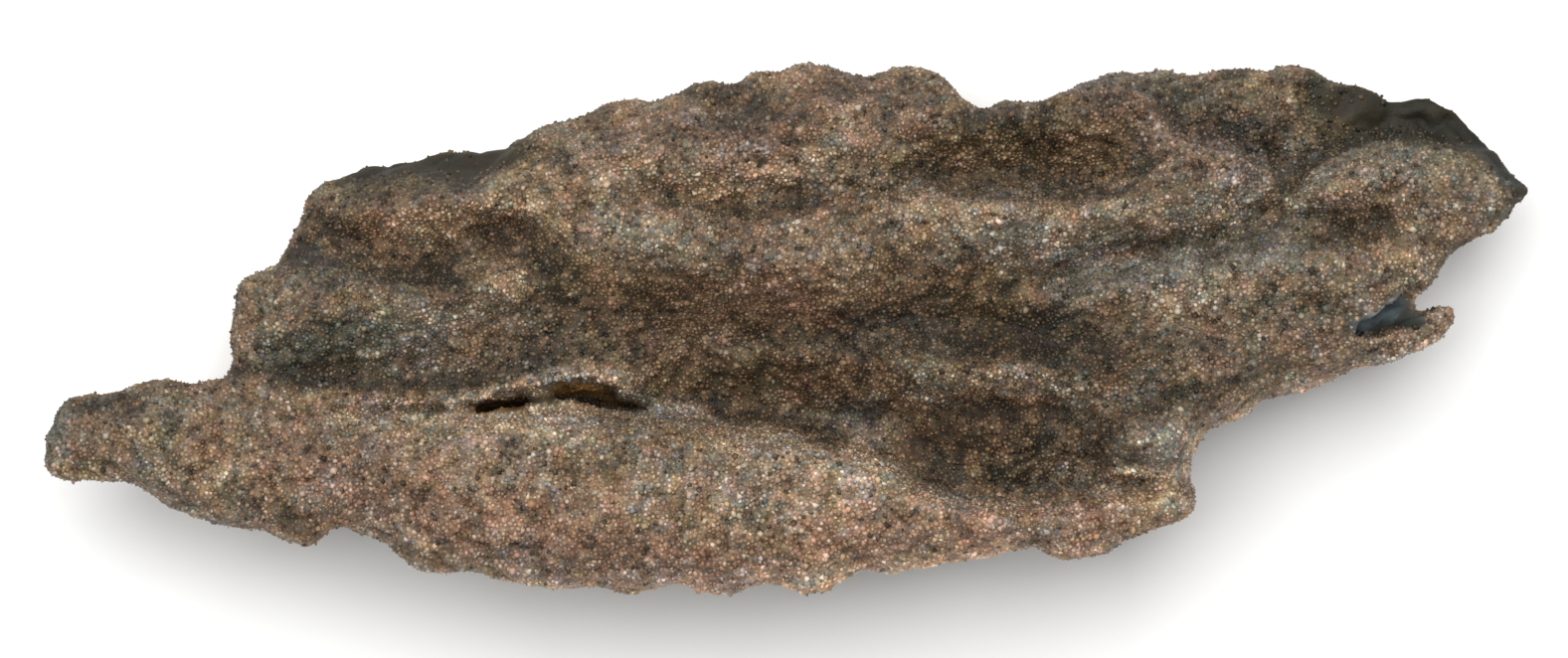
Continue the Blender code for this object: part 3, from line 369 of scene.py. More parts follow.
# Greener and pinker bands: strength under 0 for mossy sand, over 0 for rosy sand
RUDDY = [
    (LEFT_FLANGE, (1.6, 1.4), -1.2),
    ([(34.0, 13.6), (40.0, 13.4), (43.5, 12.0)], (1.8, 2.0), -1.6),
    ([(-31.0, -1.0), (-26.0, 0.2)], 1.6, -0.9),
    ([(-15.0, 2.8), (-13.0, 3.0)], 1.2, -1.0),
    ([(-7.0, -2.6), (-1.0, -3.0)], 1.2, -0.8),
    ([(11.0, 11.6), (16.0, 11.2)], 1.4, -0.8),
    ([(12.0, 1.6), (16.0, 0.6)], 1.4, -0.8),
    ([(-30.0, -8.0), (-27.0, -9.6), (-20.0, -12.0), (-10.0, -14.2), (-2.0, -15.4)], 2.0, 1.1),
    ([(2.0, -12.6), (10.0, -12.4), (20.0, -12.0)], (1.6, 2.0), 0.8),
    ([(-2.6, 3.6), (1.6, 2.0), (3.0, 1.0)], 1.2, 0.9),
    ([(-10.0, 12.4), (0.0, 11.6), (2.0, 14.4), (8.0, 13.0)], (1.8, 2.0), 0.7),
    ([(20.0, 14.8), (25.0, 11.0), (28.0, 9.8)], 1.6, 0.8),
]

# Smooth lining inside the openings: strength over 0 is the share of the slit's rusty colour,
# under 0 the share of the mouth's blue-grey colour
LINING = [
    (MOUTH, (0.7, 0.5), -1.3),
    ([(38.0, 0.5), (39.7, 0.7)], (0.45, 0.35), -1.2),
    ([(-19.3, -5.2), (-17.6, -4.9), (-16.5, -4.75)], 0.3, 1.4),
    ([(-14.2, -3.9), (-12.4, -3.85), (-11.2, -4.1)], (0.35, 0.4), 1.6),
    ([(-11.6, -4.6), (-10.4, -4.75), (-9.4, -4.8)], 0.25, 1.2),
]


# ---- Colours (linear) ------------------------------------------------------------------------
# Grain kinds: name, share of all grains, the two colours that the kind runs between, roughness,
# and how much likelier the kind is on warm crust and on crust with painted light, so that dark
# grains gather in painted shade
GRAIN_KINDS = [
    ("tan_grains", 0.24, (0.138, 0.094, 0.059), (0.270, 0.195, 0.130), 0.62, 0.2, 0.1),
    ("ochre_grains", 0.13, (0.134, 0.091, 0.051), (0.255, 0.182, 0.111), 0.62, 1.0, -0.1),
    ("rosy_grains", 0.16, (0.163, 0.106, 0.071), (0.296, 0.201, 0.142), 0.60, 1.2, 0.2),
    ("pale_grains", 0.13, (0.215, 0.168, 0.124), (0.375, 0.310, 0.242), 0.52, 0.0, 0.6),
    ("grey_grains", 0.14, (0.091, 0.075, 0.056), (0.195, 0.166, 0.129), 0.50, -1.0, 0.0),
    ("slate_grains", 0.08, (0.069, 0.062, 0.054), (0.160, 0.149, 0.133), 0.50, -1.8, -0.2),
    ("dark_grains", 0.12, (0.026, 0.019, 0.011), (0.080, 0.056, 0.034), 0.60, -0.1, -0.9),
]

# ---- Skin ------------------------------------------------------------------------------------
MERGE_GAP = 0.00001      # vertices closer than this (metres) are one
SMOOTHING = 0.5          # share of the way to its neighbours that a vertex moves in one pass
FACET_PASSES = 6         # passes that take the solid's facets out
EASE_PASSES = 2          # passes after the relief is raised
FACES_UP = (0.0, 0.45)   # upward share of a normal between which the front's relief fades in
FACES_SEEN = (-0.5, 0.1)  # the same for tones and hues
FLOOR_LEVEL = 0.0        # lowest height (mm) that the skin and the grains may reach
SIDEWAYS = 0.45          # share of the lumps that pushes the skin sideways
CRUMBS_LOST = 0.5        # share of the crumbs that smooth skin lacks
MOST_TRIANGLES = 196000  # triangles that the finished skin may have
WARP = 0.35              # how far (mm) the listed bands wander at most
WARP_SHARE = 0.6         # the same in widths of a band
TONE_SHARE = 1.15        # strength of the listed bands of painted light and painted shade
DEEP_TONE = -1.2         # what is darker than this many stops keeps only a share of the rest
DEEP_SHARE = 0.6

# Layers of noise: size of the features (mm), seed, strength
NOISE_STEP = (13.7, 7.1, 3.3)  # how far apart (in features) the noises of two seeds are read
WARP_NOISE = [(2.6, 5), (2.6, 6)]
LUMPS = [(2.6, 21, 1.0), (1.2, 22, 0.6)]
CRUMBS = [(0.6, 23, 1.0)]
TONE_NOISE = [(3.2, 41, 0.4), (1.2, 42, 0.45), (0.55, 46, 0.82)]
WARMTH_NOISE = [(3.8, 43, 0.8), (1.4, 44, 0.9), (0.65, 47, 1.3)]
RUDDY_NOISE = [(0.75, 48, 1.3), (2.2, 49, 0.9)]
GLASS_NOISE = [(1.8, 45, 0.5)]

# Painted shade in hollows and painted light on what stands out: smoothing passes, depth (mm) that
# counts as one, strength in stops
HOLLOWS = [(60, 0.25, 0.25), (8, 0.06, 0.15)]
HOLLOW_LIMITS = (-1.5, 1.0)
GLASSY_FROM = (0.5, 1.3)  # stops of darkness between which sand gives way to glass, so that the glass colour deepens the painted shade

# ---- Grains ----------------------------------------------------------------------------------
CANDIDATES = 4.0         # points tried for each spacing squared
LEAN = 0.28              # how far grains lean off the normal
SMALLEST, LARGEST = 0.09, 0.32  # limits of a grain's radius (mm)
SHAPE_SHARES = (0.5, 0.25, 0.25)  # domes, roofs and stones
DOME_HEIGHT = 1.1        # heights and sizes of the three shapes, in radii
ROOF_SIZE = 1.6
ROOF_RIDGE = (0.55, 0.0, 0.6)  # how much of the block's top is left along each axis
STONE_HEIGHT = 0.9
STONE_ROOT = 0.8         # how far the stone reaches down
WELD_GAP = 0.001         # corners of a shape closer than this are one
STRETCH = (0.8, 1.25)    # how much longer or shorter a grain is along each axis
JITTER = (0.82, 1.14)    # the same for each of its corners
SUNK = 0.55              # how far a grain's middle lies under a steep skin, in radii
CELL_SHARE = 0.9         # share of a map cell that a grain's faces fill
CELL_ROWS = 2            # rows of faces in a cell
CELL_CORNERS = [(0.08, 0.08), (0.92, 0.08), (0.5, 0.92)]  # a face's corners in its patch
WARMTH_LIMITS = (-1.5, 1.5)  # limits of the hues and of the tones, painted light and shade among them, that choose a grain's kind
TONE_LIMITS = (-1.5, 0.8)
GRAIN_STAINS_AND_SHADE = ("painted_light_and_tone", "warmth", "ruddy", "lined")  # numbers that grains take from the skin
GROUND_CLEARANCE = 0.12  # grains lower than this (mm) would be under the floor

# ---- Finishes --------------------------------------------------------------------------------
TINTS = [                # kept number, and the tints that it runs between from -1 to 1
    ("warmth", (0.88, 1.0, 1.09), (1.13, 1.0, 0.84)),
    ("ruddy", (0.95, 1.05, 0.94), (1.06, 0.955, 1.02)),
    # the tone's tint: painted shade warmer, painted light bluer
    ("painted_light_and_tone", (1.035, 1.0, 0.92), (0.965, 1.0, 1.085)),
]
QUARTZ_IOR = 1.54
SHEEN = 0.35             # weight of the grains' and the crust's shine
SHADE_ROUGHNESS = 0.12   # how much smoother pale grains of a kind are, and rougher dark ones
GLASS_ROUGHNESS = 0.72
GRAIN_CELL = 0.27        # size of the grains drawn in the matrix (mm)
SEAM_FROM = (0.35, 0.75)  # distance from such a grain's middle over which the matrix shows
SEAM_SHARE = (0.35, 1.0)  # how much of the matrix shows there
BUMP_STRENGTH = (0.7, 0.5)  # bump of those grains on sandy and on smooth skin
BUMP_DEPTH = 0.00006     # metres

# ---- Stage -----------------------------------------------------------------------------------
FLOOR_SIZE = 4.0         # metres, as are the lamp's sizes and place
FLOOR_ROUGHNESS = 0.9
KEY_SIZE = (0.65, 0.48)
KEY_PLACE = (-0.06, 0.21, 0.62)
LENS = 180.0
SENSOR = 36.0
NEAREST = 0.01           # metres from the camera
VIEW_WIDTH = 98.5625     # width of the view at VIEW_HEIGHT (mm)
VIEW_HEIGHT = 9.0
VIEW_CENTRE = (-0.094, -0.0625)  # middle of the view (mm)


def length_prop(name, description, default, low, high):
    """Property of a length in metres."""
    return bpy.props.FloatProperty(name=name, description=description, default=default,
                                   min=low, max=high, precision=6, unit="LENGTH")


def share_prop(name, description, default, high=1.0):
    """Property of a share, from 0 up."""
    return bpy.props.FloatProperty(name=name, description=description, default=default,
                                   min=0.0, max=high, subtype="FACTOR")


def colour_prop(name, description, default):
    """Property of a linear colour."""
    return bpy.props.FloatVectorProperty(name=name, description=description, size=3,
                                         subtype="COLOR", default=default, min=0.0, max=1.0)


class FulguriteCrust(bpy.types.PropertyGroup):
    """Sizes of the crust's skin."""
    skin_step: length_prop("Skin step", "Spacing of the skin's mesh", 0.00025, 0.0002, 0.001)
    lump_height: length_prop("Lump height", "Height of the fused lumps", 0.00022, 0.0, 0.002)
    crumb_height: length_prop("Crumb height", "Height of the crumbs, a few grains across",
                              0.00020, 0.0, 0.001)
    relief_share: share_prop("Relief", "Share of the listed relief that is raised", 1.0, 2.0)


class FulguriteGrains(bpy.types.PropertyGroup):
    """Sizes of the sand grains."""
    spacing: length_prop("Spacing", "Least distance between two grains", 0.00025, 0.0001, 0.001)
    radius: length_prop("Radius", "Usual radius of a grain", 0.000168, 0.00005, 0.001)
    spread: share_prop("Spread", "How far grain sizes differ", 0.26)
    seed: bpy.props.IntProperty(
        name="Seed", description="Number that the scatter starts from", default=11, min=0)


class FulguriteFinish(bpy.types.PropertyGroup):
    """Colours of the crust between its grains."""
    matrix: colour_prop("Matrix", "Fused sand between the grains", (0.092, 0.063, 0.038))
    # the glass colour also deepens the darkest painted shade
    glass: colour_prop("Glass", "Smooth, glassy patches", (0.062, 0.050, 0.034))
    lining: colour_prop("Lining", "Rusty lining of the slit", (0.150, 0.080, 0.022))
    mouth: colour_prop("Mouth", "Blue-grey lining of the tube's mouth", (0.064, 0.070, 0.065))
    matrix_roughness: share_prop("Matrix roughness", "Roughness between the grains", 0.8)


class FulguriteStage(bpy.types.PropertyGroup):
    """Floor, lamps and camera."""
    floor_colour: colour_prop("Floor", "Colour of the floor", (0.90, 0.90, 0.89))
    key_power: bpy.props.FloatProperty(
        name="Key lamp", description="Power of the large soft lamp", default=5.2, min=0.0,
        unit="POWER")
    fill_strength: bpy.props.FloatProperty(
        name="Sky", description="Strength of the even light all round", default=0.54, min=0.0)


def deselect_all():
    """Leave nothing selected, out of edit mode."""
    if bpy.context.mode != "OBJECT":
        bpy.ops.object.mode_set(mode="OBJECT")
    bpy.ops.object.select_all(action="DESELECT")


def take(obj):
    """Make an object the only one selected, and the active one."""
    deselect_all()
    obj.select_set(True)
    bpy.context.view_layer.objects.active = obj
    return obj


def apply_modifier(obj, kind, name, **values):
    """Add a modifier, set it up and apply it."""
    take(obj)
    modifier = obj.modifiers.new(name, kind)
    for key, value in values.items():
        setattr(modifier, key, value)
    bpy.ops.object.modifier_apply(modifier=name)


def points_of(mesh):
    """Vertex positions in millimetres."""
    places = np.empty(len(mesh.vertices) * 3)
    mesh.vertices.foreach_get("co", places)
    return places.reshape(-1, 3) / MM


def put_points(mesh, places):
    """Write vertex positions given in millimetres."""
    mesh.vertices.foreach_set("co", (places * MM).ravel())
    mesh.update()


def normals_of(mesh):
    """Unit vertex normals."""
    normals = np.empty(len(mesh.vertices) * 3)
    mesh.vertices.foreach_get("normal", normals)
    return normals.reshape(-1, 3)


def band(spots, stroke, waver=0.0):
    """Strength of one stroke at each spot; the narrower the stroke, the less it wanders."""
    line, width, strength = stroke
    left, right = np.broadcast_to(width, 2)
    spots = spots + min(WARP, WARP_SHARE * min(left, right)) * waver
    nearest = np.full(len(spots), np.inf)
    signed = np.zeros(len(spots))
    knots = np.array(line)
    for start, end in zip(knots[:-1], knots[1:]):
        span = end - start
        offset = spots - start
        share = np.clip(offset @ span / (span @ span), 0.0, 1.0)
        reach = np.linalg.norm(offset - share[:, None] * span, axis=1)
        side = np.sign(span[0] * offset[:, 1] - span[1] * offset[:, 0])
        closer = reach < nearest
        nearest = np.where(closer, reach, nearest)
        signed = np.where(closer, side * reach, signed)
    return strength * np.exp(-(signed / np.where(signed > 0, left, right)) ** 2)


def bands(spots, strokes, waver):
    """Sum of a list of strokes at each spot."""
    return sum(band(spots, stroke, waver) for stroke in strokes)


def soft_noise(places, size, seed):
    """Noise in -1..1 at each place (mm), with features of the given size."""
    shift = Vector([seed * step for step in NOISE_STEP])
    return np.array([noise.noise(Vector(place) + shift) for place in places / size])


def layered(places, layers):
    """Sum of layers of noise at each place (mm)."""
    return sum(strength * soft_noise(places, size, seed) for size, seed, strength in layers)


def skin_of_solid(step):
    """An evenly spaced skin over a copy of the solid, with its flat facets rounded off."""
    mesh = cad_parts[NODE].data.copy()
    mesh.name = "sand_crust"
    mesh.materials.clear()
    crust = bpy.data.objects.new("sand_crust", mesh)
    bpy.context.scene.collection.objects.link(crust)
    take(crust)
    bpy.ops.object.mode_set(mode="EDIT")
    bpy.ops.mesh.select_all(action="SELECT")
    bpy.ops.mesh.remove_doubles(threshold=MERGE_GAP)
    bpy.ops.object.mode_set(mode="OBJECT")
    apply_modifier(crust, "REMESH", "skin", mode="VOXEL", voxel_size=step)
    apply_modifier(crust, "SMOOTH", "round_off", factor=SMOOTHING, iterations=FACET_PASSES)
    return crust


def fade(values, low, high):
    """0 under low, 1 over high, smooth between."""
    share = np.clip((values - low) / (high - low), 0.0, 1.0)
    return share * share * (3.0 - 2.0 * share)


def waver_of(places):
    """How the listed bands wander at each place, so that their edges aren't ruled lines."""
    flat = places * np.array([1.0, 1.0, 0.0])
    return np.stack([soft_noise(flat, size, seed) for size, seed in WARP_NOISE], axis=1)


def raise_relief(mesh, share):
    """Raise and sink the listed bands on the faces that look up."""
    places, normals = points_of(mesh), normals_of(mesh)
    upward = fade(normals[:, 2], *FACES_UP)
    places[:, 2] += share * upward * bands(places[:, :2], RELIEF, waver_of(places))
    put_points(mesh, places)


def lift_to_floor(mesh):
    """Bring what lies under the floor up to it."""
    places = points_of(mesh)
    places[:, 2] = np.maximum(places[:, 2], FLOOR_LEVEL)
    put_points(mesh, places)


def thin_out(crust, most):
    """Join the skin's flattest triangles until it has no more than it may."""
    count = sum(len(face.vertices) - 2 for face in crust.data.polygons)
    apply_modifier(crust, "DECIMATE", "thin_out", ratio=min(1.0, most / count))
    lift_to_floor(crust.data)


def draw_out(mesh):
    """Shift the skin sideways over the listed ends."""
    places = points_of(mesh)
    spots = places[:, :2].copy()
    for line, reach, shift in DRAWN_OUT:
        places[:, :2] += band(spots, (line, reach, 1.0))[:, None] * np.array(shift)
    put_points(mesh, places)


def bare_share(places, normals):
    """How smooth and free of grains the skin is at each place, in 0..1."""
    upward = fade(normals[:, 2], *FACES_SEEN)
    return np.clip(upward * bands(places[:, :2], BARE, waver_of(places)), 0.0, 1.0)


def knobs(places, size, seed):
    """Round knobs with creases between them, in about -1..1."""
    return 4.0 * np.abs(soft_noise(places, size, seed)) - 1.0


def raise_lumps(mesh, lump_height, crumb_height):
    """Push the skin in and out in lumps and crumbs."""
    places, normals = points_of(mesh), normals_of(mesh)
    lumps = sum(strength * knobs(places, size, seed) for size, seed, strength in LUMPS)
    crumbs = (1.0 - CRUMBS_LOST * bare_share(places, normals)) * layered(places, CRUMBS)
    push = (lumps * lump_height + crumbs * crumb_height) / MM
    places += push[:, None] * normals * np.array([SIDEWAYS, SIDEWAYS, 1.0])
    put_points(mesh, places)
    lift_to_floor(mesh)


def neighbour_mean(values, pairs, counts):
    """Mean of each vertex's neighbours."""
    total = np.zeros_like(values)
    for axis in range(values.shape[1]):
        for here, there in (pairs.T, pairs[:, ::-1].T):
            total[:, axis] += np.bincount(here, values[there, axis], len(values))
    return total / counts[:, None]


def standing_out(mesh, passes):
    """How far each vertex stands over its smoothed surroundings (mm): hollows are under 0."""
    places, normals = points_of(mesh), normals_of(mesh)
    pairs = np.empty(len(mesh.edges) * 2, dtype=np.int32)
    mesh.edges.foreach_get("vertices", pairs)
    pairs = pairs.reshape(-1, 2)
    counts = np.maximum(np.bincount(pairs.ravel(), minlength=len(places)), 1)
    smooth = places.copy()
    for _ in range(passes):
        smooth += SMOOTHING * (neighbour_mean(smooth, pairs, counts) - smooth)
    return ((places - smooth) * normals).sum(axis=1)


def store(mesh, name, values):
    """Keep one number for each vertex under a name that the materials read."""
    layer = mesh.attributes.new(name, "FLOAT", "POINT")
    layer.data.foreach_set("value", np.asarray(values, dtype=np.float32))


def read(mesh, name):
    """The numbers kept under a name."""
    values = np.empty(len(mesh.vertices), dtype=np.float32)
    mesh.attributes[name].data.foreach_get("value", values)
    return values.astype(float)


def stain_and_shade(mesh):
    """Work out the tone in stops, with its painted light and painted shade, the two hues, the
    linings and the smooth skin.
    """
    places, normals = points_of(mesh), normals_of(mesh)
    spots, waver = places[:, :2], waver_of(places)
    upward = fade(normals[:, 2], *FACES_SEEN)
    # the tone in stops: the listed bands of painted light and painted shade, and the crust's own
    # tone from noise
    painted_light_and_tone = TONE_SHARE * upward * bands(spots, PAINTED_LIGHT_AND_TONE_BANDS, waver) + layered(places, TONE_NOISE)
    # painted shade in the hollows and painted light on what stands out
    for passes, depth, strength in HOLLOWS:
        painted_light_and_tone += strength * np.clip(standing_out(mesh, passes) / depth, *HOLLOW_LIMITS)
    painted_light_and_tone = np.where(painted_light_and_tone < DEEP_TONE, DEEP_TONE + DEEP_SHARE * (painted_light_and_tone - DEEP_TONE), painted_light_and_tone)
    bare = bare_share(places, normals)
    # glass colour where the tone is darkest: painted shade laid as glass
    dark = fade(layered(places, GLASS_NOISE) - painted_light_and_tone, *GLASSY_FROM)
    stains_and_shade = {
        "lined": np.clip(upward * bands(spots, LINING, waver), -1.0, 1.0),
        "ruddy": upward * bands(spots, RUDDY, waver) + layered(places, RUDDY_NOISE),
        "painted_light_and_tone": painted_light_and_tone,
        "warmth": upward * bands(spots, WARMTH, waver) + layered(places, WARMTH_NOISE),
        "glass_and_painted_shade": np.maximum(bare, dark),
        "bare": bare,
    }
    for name, values in stains_and_shade.items():
        store(mesh, name, values)


def move_corners(grain, chosen, operator, **values):
    """Run an edit-mode operator on the corners that a test picks."""
    bpy.ops.object.mode_set(mode="EDIT")
    bpy.ops.mesh.select_all(action="DESELECT")
    bpy.ops.object.mode_set(mode="OBJECT")
    for vertex in grain.data.vertices:
        vertex.select = chosen(vertex.co)
    bpy.ops.object.mode_set(mode="EDIT")
    operator(**values)
    bpy.ops.object.mode_set(mode="OBJECT")


def finished_grain(grain):
    """Corners and triangles of a modelled grain, about its middle."""
    bpy.ops.object.mode_set(mode="EDIT")
    bpy.ops.mesh.select_all(action="SELECT")
    bpy.ops.mesh.remove_doubles(threshold=WELD_GAP)
    bpy.ops.mesh.quads_convert_to_tris()
    bpy.ops.mesh.normals_make_consistent(inside=False)
    bpy.ops.object.mode_set(mode="OBJECT")
    corners = np.array([vertex.co for vertex in grain.data.vertices])
    faces = np.array([face.vertices for face in grain.data.polygons])
    bpy.data.objects.remove(grain, do_unlink=True)
    return corners - corners.mean(axis=0), faces


def grain_shapes():
    """Three grains of six corners and eight triangles: a dome, a roof and a stone."""
    deselect_all()
    bpy.ops.mesh.primitive_cone_add(vertices=5, radius1=1.0, radius2=0.0, depth=DOME_HEIGHT)
    dome = finished_grain(bpy.context.object)
    deselect_all()
    bpy.ops.mesh.primitive_cube_add(size=ROOF_SIZE)
    block = bpy.context.object
    move_corners(block, lambda place: place.z > 0.0, bpy.ops.transform.resize,
                 value=ROOF_RIDGE)
    roof = finished_grain(block)
    deselect_all()
    bpy.ops.mesh.primitive_cone_add(vertices=4, radius1=1.0, radius2=0.0, depth=STONE_HEIGHT,
                                    end_fill_type="TRIFAN")
    spike = bpy.context.object
    move_corners(spike, lambda place: place.z < 0.0 and place.xy.length < WELD_GAP,
                 bpy.ops.transform.translate, value=(0.0, 0.0, -STONE_ROOT))
    stone = finished_grain(spike)
    return [dome, roof, stone]


def scatter_group(spacing, seed):
    """Nodes that spread points evenly over a skin and keep its normals."""
    group = bpy.data.node_groups.new("grain_scatter", "GeometryNodeTree")
    group.interface.new_socket("Geometry", in_out="INPUT", socket_type="NodeSocketGeometry")
    group.interface.new_socket("Geometry", in_out="OUTPUT", socket_type="NodeSocketGeometry")
    nodes, links = group.nodes, group.links
    source = nodes.new("NodeGroupInput")
    result = nodes.new("NodeGroupOutput")
    spread = nodes.new("GeometryNodeDistributePointsOnFaces")
    spread.distribute_method = "POISSON"
    spread.inputs["Distance Min"].default_value = spacing
    spread.inputs["Density Max"].default_value = CANDIDATES / spacing ** 2
    spread.inputs["Seed"].default_value = seed
    keep = nodes.new("GeometryNodeStoreNamedAttribute")
    keep.data_type = "FLOAT_VECTOR"
    keep.inputs["Name"].default_value = "out"
    solid = nodes.new("GeometryNodePointsToVertices")
    links.new(source.outputs[0], spread.inputs["Mesh"])
    links.new(spread.outputs["Points"], keep.inputs["Geometry"])
    links.new(spread.outputs["Normal"], keep.inputs["Value"])
    links.new(keep.outputs["Geometry"], solid.inputs["Points"])
    links.new(solid.outputs[0], result.inputs[0])
    return group


def scatter(crust, spacing, seed):
    """Places (mm), normals, and the stains and painted light and shade of every grain."""
    carrier = bpy.data.objects.new("carrier", crust.data.copy())
    bpy.context.scene.collection.objects.link(carrier)
    apply_modifier(carrier, "NODES", "scatter", node_group=scatter_group(spacing, seed))
    mesh = carrier.data
    normals = np.empty(len(mesh.vertices) * 3, dtype=np.float32)
    mesh.attributes["out"].data.foreach_get("vector", normals)
    found = {name: read(mesh, name) for name in (*GRAIN_STAINS_AND_SHADE, "bare")}
    found["place"] = points_of(mesh)
    found["normal"] = normals.reshape(-1, 3).astype(float)
    bpy.data.objects.remove(carrier, do_unlink=True)
    held = np.random.default_rng(seed).uniform(size=len(found["bare"])) > found["bare"]
    held &= found["place"][:, 2] > GROUND_CLEARANCE
    return {key: values[held] for key, values in found.items()}


def grain_kinds(found, draw):
    """Which kind each grain is, likelier one or the other by the crust that it lies on and its
    painted light and shade.
    """
    warmth = np.clip(found["warmth"], *WARMTH_LIMITS)
    painted_light_and_tone = np.clip(found["painted_light_and_tone"], *TONE_LIMITS)
    chances = np.stack([share * np.exp(warm * warmth + bright * painted_light_and_tone)
                        for _, share, _, _, _, warm, bright in GRAIN_KINDS], axis=1)
    steps = np.cumsum(chances / chances.sum(axis=1)[:, None], axis=1)
    return (draw.uniform(size=len(steps))[:, None] > steps[:, :-1]).sum(axis=1)


def grain_frames(normals, draw):
    """Three axes for each grain: turned at will and leaning a little off the normal."""
    lean = normals + LEAN * draw.normal(size=normals.shape)
    up = lean / np.linalg.norm(lean, axis=1)[:, None]
    other = draw.normal(size=normals.shape)
    side = np.cross(up, other)
    side /= np.linalg.norm(side, axis=1)[:, None]
    return side, np.cross(up, side), up


def cell_map(mesh, count, faces_each):
    """A map with a cell for each grain, its faces side by side in it."""
    across = math.ceil(math.sqrt(count))
    cell = np.arange(count)
    corner = np.stack([cell % across, cell // across], axis=1) / across
    columns = faces_each // CELL_ROWS
    face = np.arange(faces_each)
    patch = np.stack([(face % columns) / columns, (face // columns) / CELL_ROWS], axis=1)
    shape = np.array(CELL_CORNERS) / np.array([columns, CELL_ROWS])
    spots = corner[:, None, None] + (patch[:, None] + shape)[None] * CELL_SHARE / across
    layer = mesh.uv_layers.new(name="OFBake")
    layer.data.foreach_set("uv", spots.astype(np.float32).ravel())


def grain_mesh(name, found, shapes, settings, draw):
    """One mesh of many grains, sunk into the skin where they were scattered."""
    count = len(found["place"])
    radius = settings.radius / MM * np.exp(settings.spread * draw.normal(size=count))
    radius = np.clip(radius, SMALLEST, LARGEST)
    side, across, up = grain_frames(found["normal"], draw)
    corners = np.stack([corner for corner, _ in shapes])
    patterns = np.stack([faces for _, faces in shapes])
    kind = draw.choice(len(shapes), size=count, p=SHAPE_SHARES)
    size = radius[:, None] * draw.uniform(*STRETCH, size=(count, 3))
    local = corners[kind] * size[:, None, :]
    local *= draw.uniform(*JITTER, size=(count, local.shape[1], 1))
    steep = 1.0 - np.abs(found["normal"][:, 2])
    places = (found["place"][:, None, :] + local[..., 0:1] * side[:, None]
              + local[..., 1:2] * across[:, None] + local[..., 2:3] * up[:, None]
              - (SUNK * steep * radius)[:, None, None] * found["normal"][:, None])
    places[..., 2] = np.maximum(places[..., 2], FLOOR_LEVEL)
    each = local.shape[1]
    faces = patterns[kind] + (np.arange(count) * each)[:, None, None]
    mesh = bpy.data.meshes.new(name)
    mesh.vertices.add(count * each)
    mesh.loops.add(faces.size)
    mesh.polygons.add(faces.size // 3)
    mesh.vertices.foreach_set("co", (places * MM).ravel())
    mesh.loops.foreach_set("vertex_index", faces.ravel().astype(np.int32))
    mesh.polygons.foreach_set("loop_start", np.arange(0, faces.size, 3, dtype=np.int32))
    mesh.polygons.foreach_set("use_smooth", np.ones(faces.size // 3, dtype=bool))
    mesh.update(calc_edges=True)
    for key in GRAIN_STAINS_AND_SHADE:
        store(mesh, key, np.repeat(found[key], each))
    store(mesh, "shade", np.repeat(draw.uniform(size=count), each))
    cell_map(mesh, count, faces.shape[1])
    return mesh


def new_material(name):
    """A material with its shader and the means to add nodes."""
    material = bpy.data.materials.new(name)
    material.use_nodes = True
    tree = material.node_tree
    return material, tree, tree.nodes["Principled BSDF"]


def attribute(tree, name):
    """Socket of a kept number."""
    node = tree.nodes.new("ShaderNodeAttribute")
    node.attribute_name = name
    return node.outputs["Fac"]


def math_node(tree, operation, first, second):
    """Socket of a sum; each side is a socket or a number."""
    node = tree.nodes.new("ShaderNodeMath")
    node.operation = operation
    for socket, value in zip(node.inputs, (first, second)):
        if isinstance(value, (int, float)):
            socket.default_value = value
        else:
            tree.links.new(value, socket)
    return node.outputs[0]


def mixed(tree, share, first, second, blend="MIX"):
    """Socket of two colours mixed; each is a socket or a colour."""
    node = tree.nodes.new("ShaderNodeMix")
    node.data_type = "RGBA"
    node.blend_type = blend
    for socket, value in ((node.inputs[0], share), (node.inputs[6], first),
                          (node.inputs[7], second)):
        if isinstance(value, (int, float)):
            socket.default_value = value
        elif isinstance(value, (tuple, list)):
            socket.default_value = (*value, 1.0)
        else:
            tree.links.new(value, socket)
    return node.outputs[2]


def ranged(tree, value, low, high, to_low, to_high):
    """Socket of a number brought from one range to another."""
    node = tree.nodes.new("ShaderNodeMapRange")
    tree.links.new(value, node.inputs["Value"])
    for key, number in (("From Min", low), ("From Max", high), ("To Min", to_low),
                        ("To Max", to_high)):
        node.inputs[key].default_value = number
    return node.outputs[0]


def weathered_and_shaded(tree, colour, lining):
    """A colour under the kept lining, the tone with its painted light and painted shade, and the
    hues.
    """
    colour = mixed(tree, attribute(tree, "lined"), colour, lining)
    # brightness gain from the tone: painted light and painted shade, and the crust's own tone
    gain = math_node(tree, "POWER", 2.0, attribute(tree, "painted_light_and_tone"))
    for name, low, high in TINTS:
        share = ranged(tree, attribute(tree, name), -1.0, 1.0, 0.0, 1.0)
        colour = mixed(tree, 1.0, colour, mixed(tree, share, low, high), "MULTIPLY")
    scale = tree.nodes.new("ShaderNodeVectorMath")
    scale.operation = "SCALE"
    tree.links.new(colour, scale.inputs[0])
    tree.links.new(gain, scale.inputs["Scale"])
    return scale.outputs[0]


def grain_material(name, deep, light, roughness, lining):
    """Grains of one kind, each with its own shade."""
    material, tree, shader = new_material(name)
    shade = attribute(tree, "shade")
    colour = weathered_and_shaded(tree, mixed(tree, shade, deep, light), lining)
    tree.links.new(colour, shader.inputs["Base Color"])
    rough = ranged(tree, shade, 0.0, 1.0, roughness + SHADE_ROUGHNESS,
                   roughness - SHADE_ROUGHNESS)
    tree.links.new(rough, shader.inputs["Roughness"])
    shader.inputs["IOR"].default_value = QUARTZ_IOR
    shader.inputs["Specular IOR Level"].default_value = SHEEN
    return material


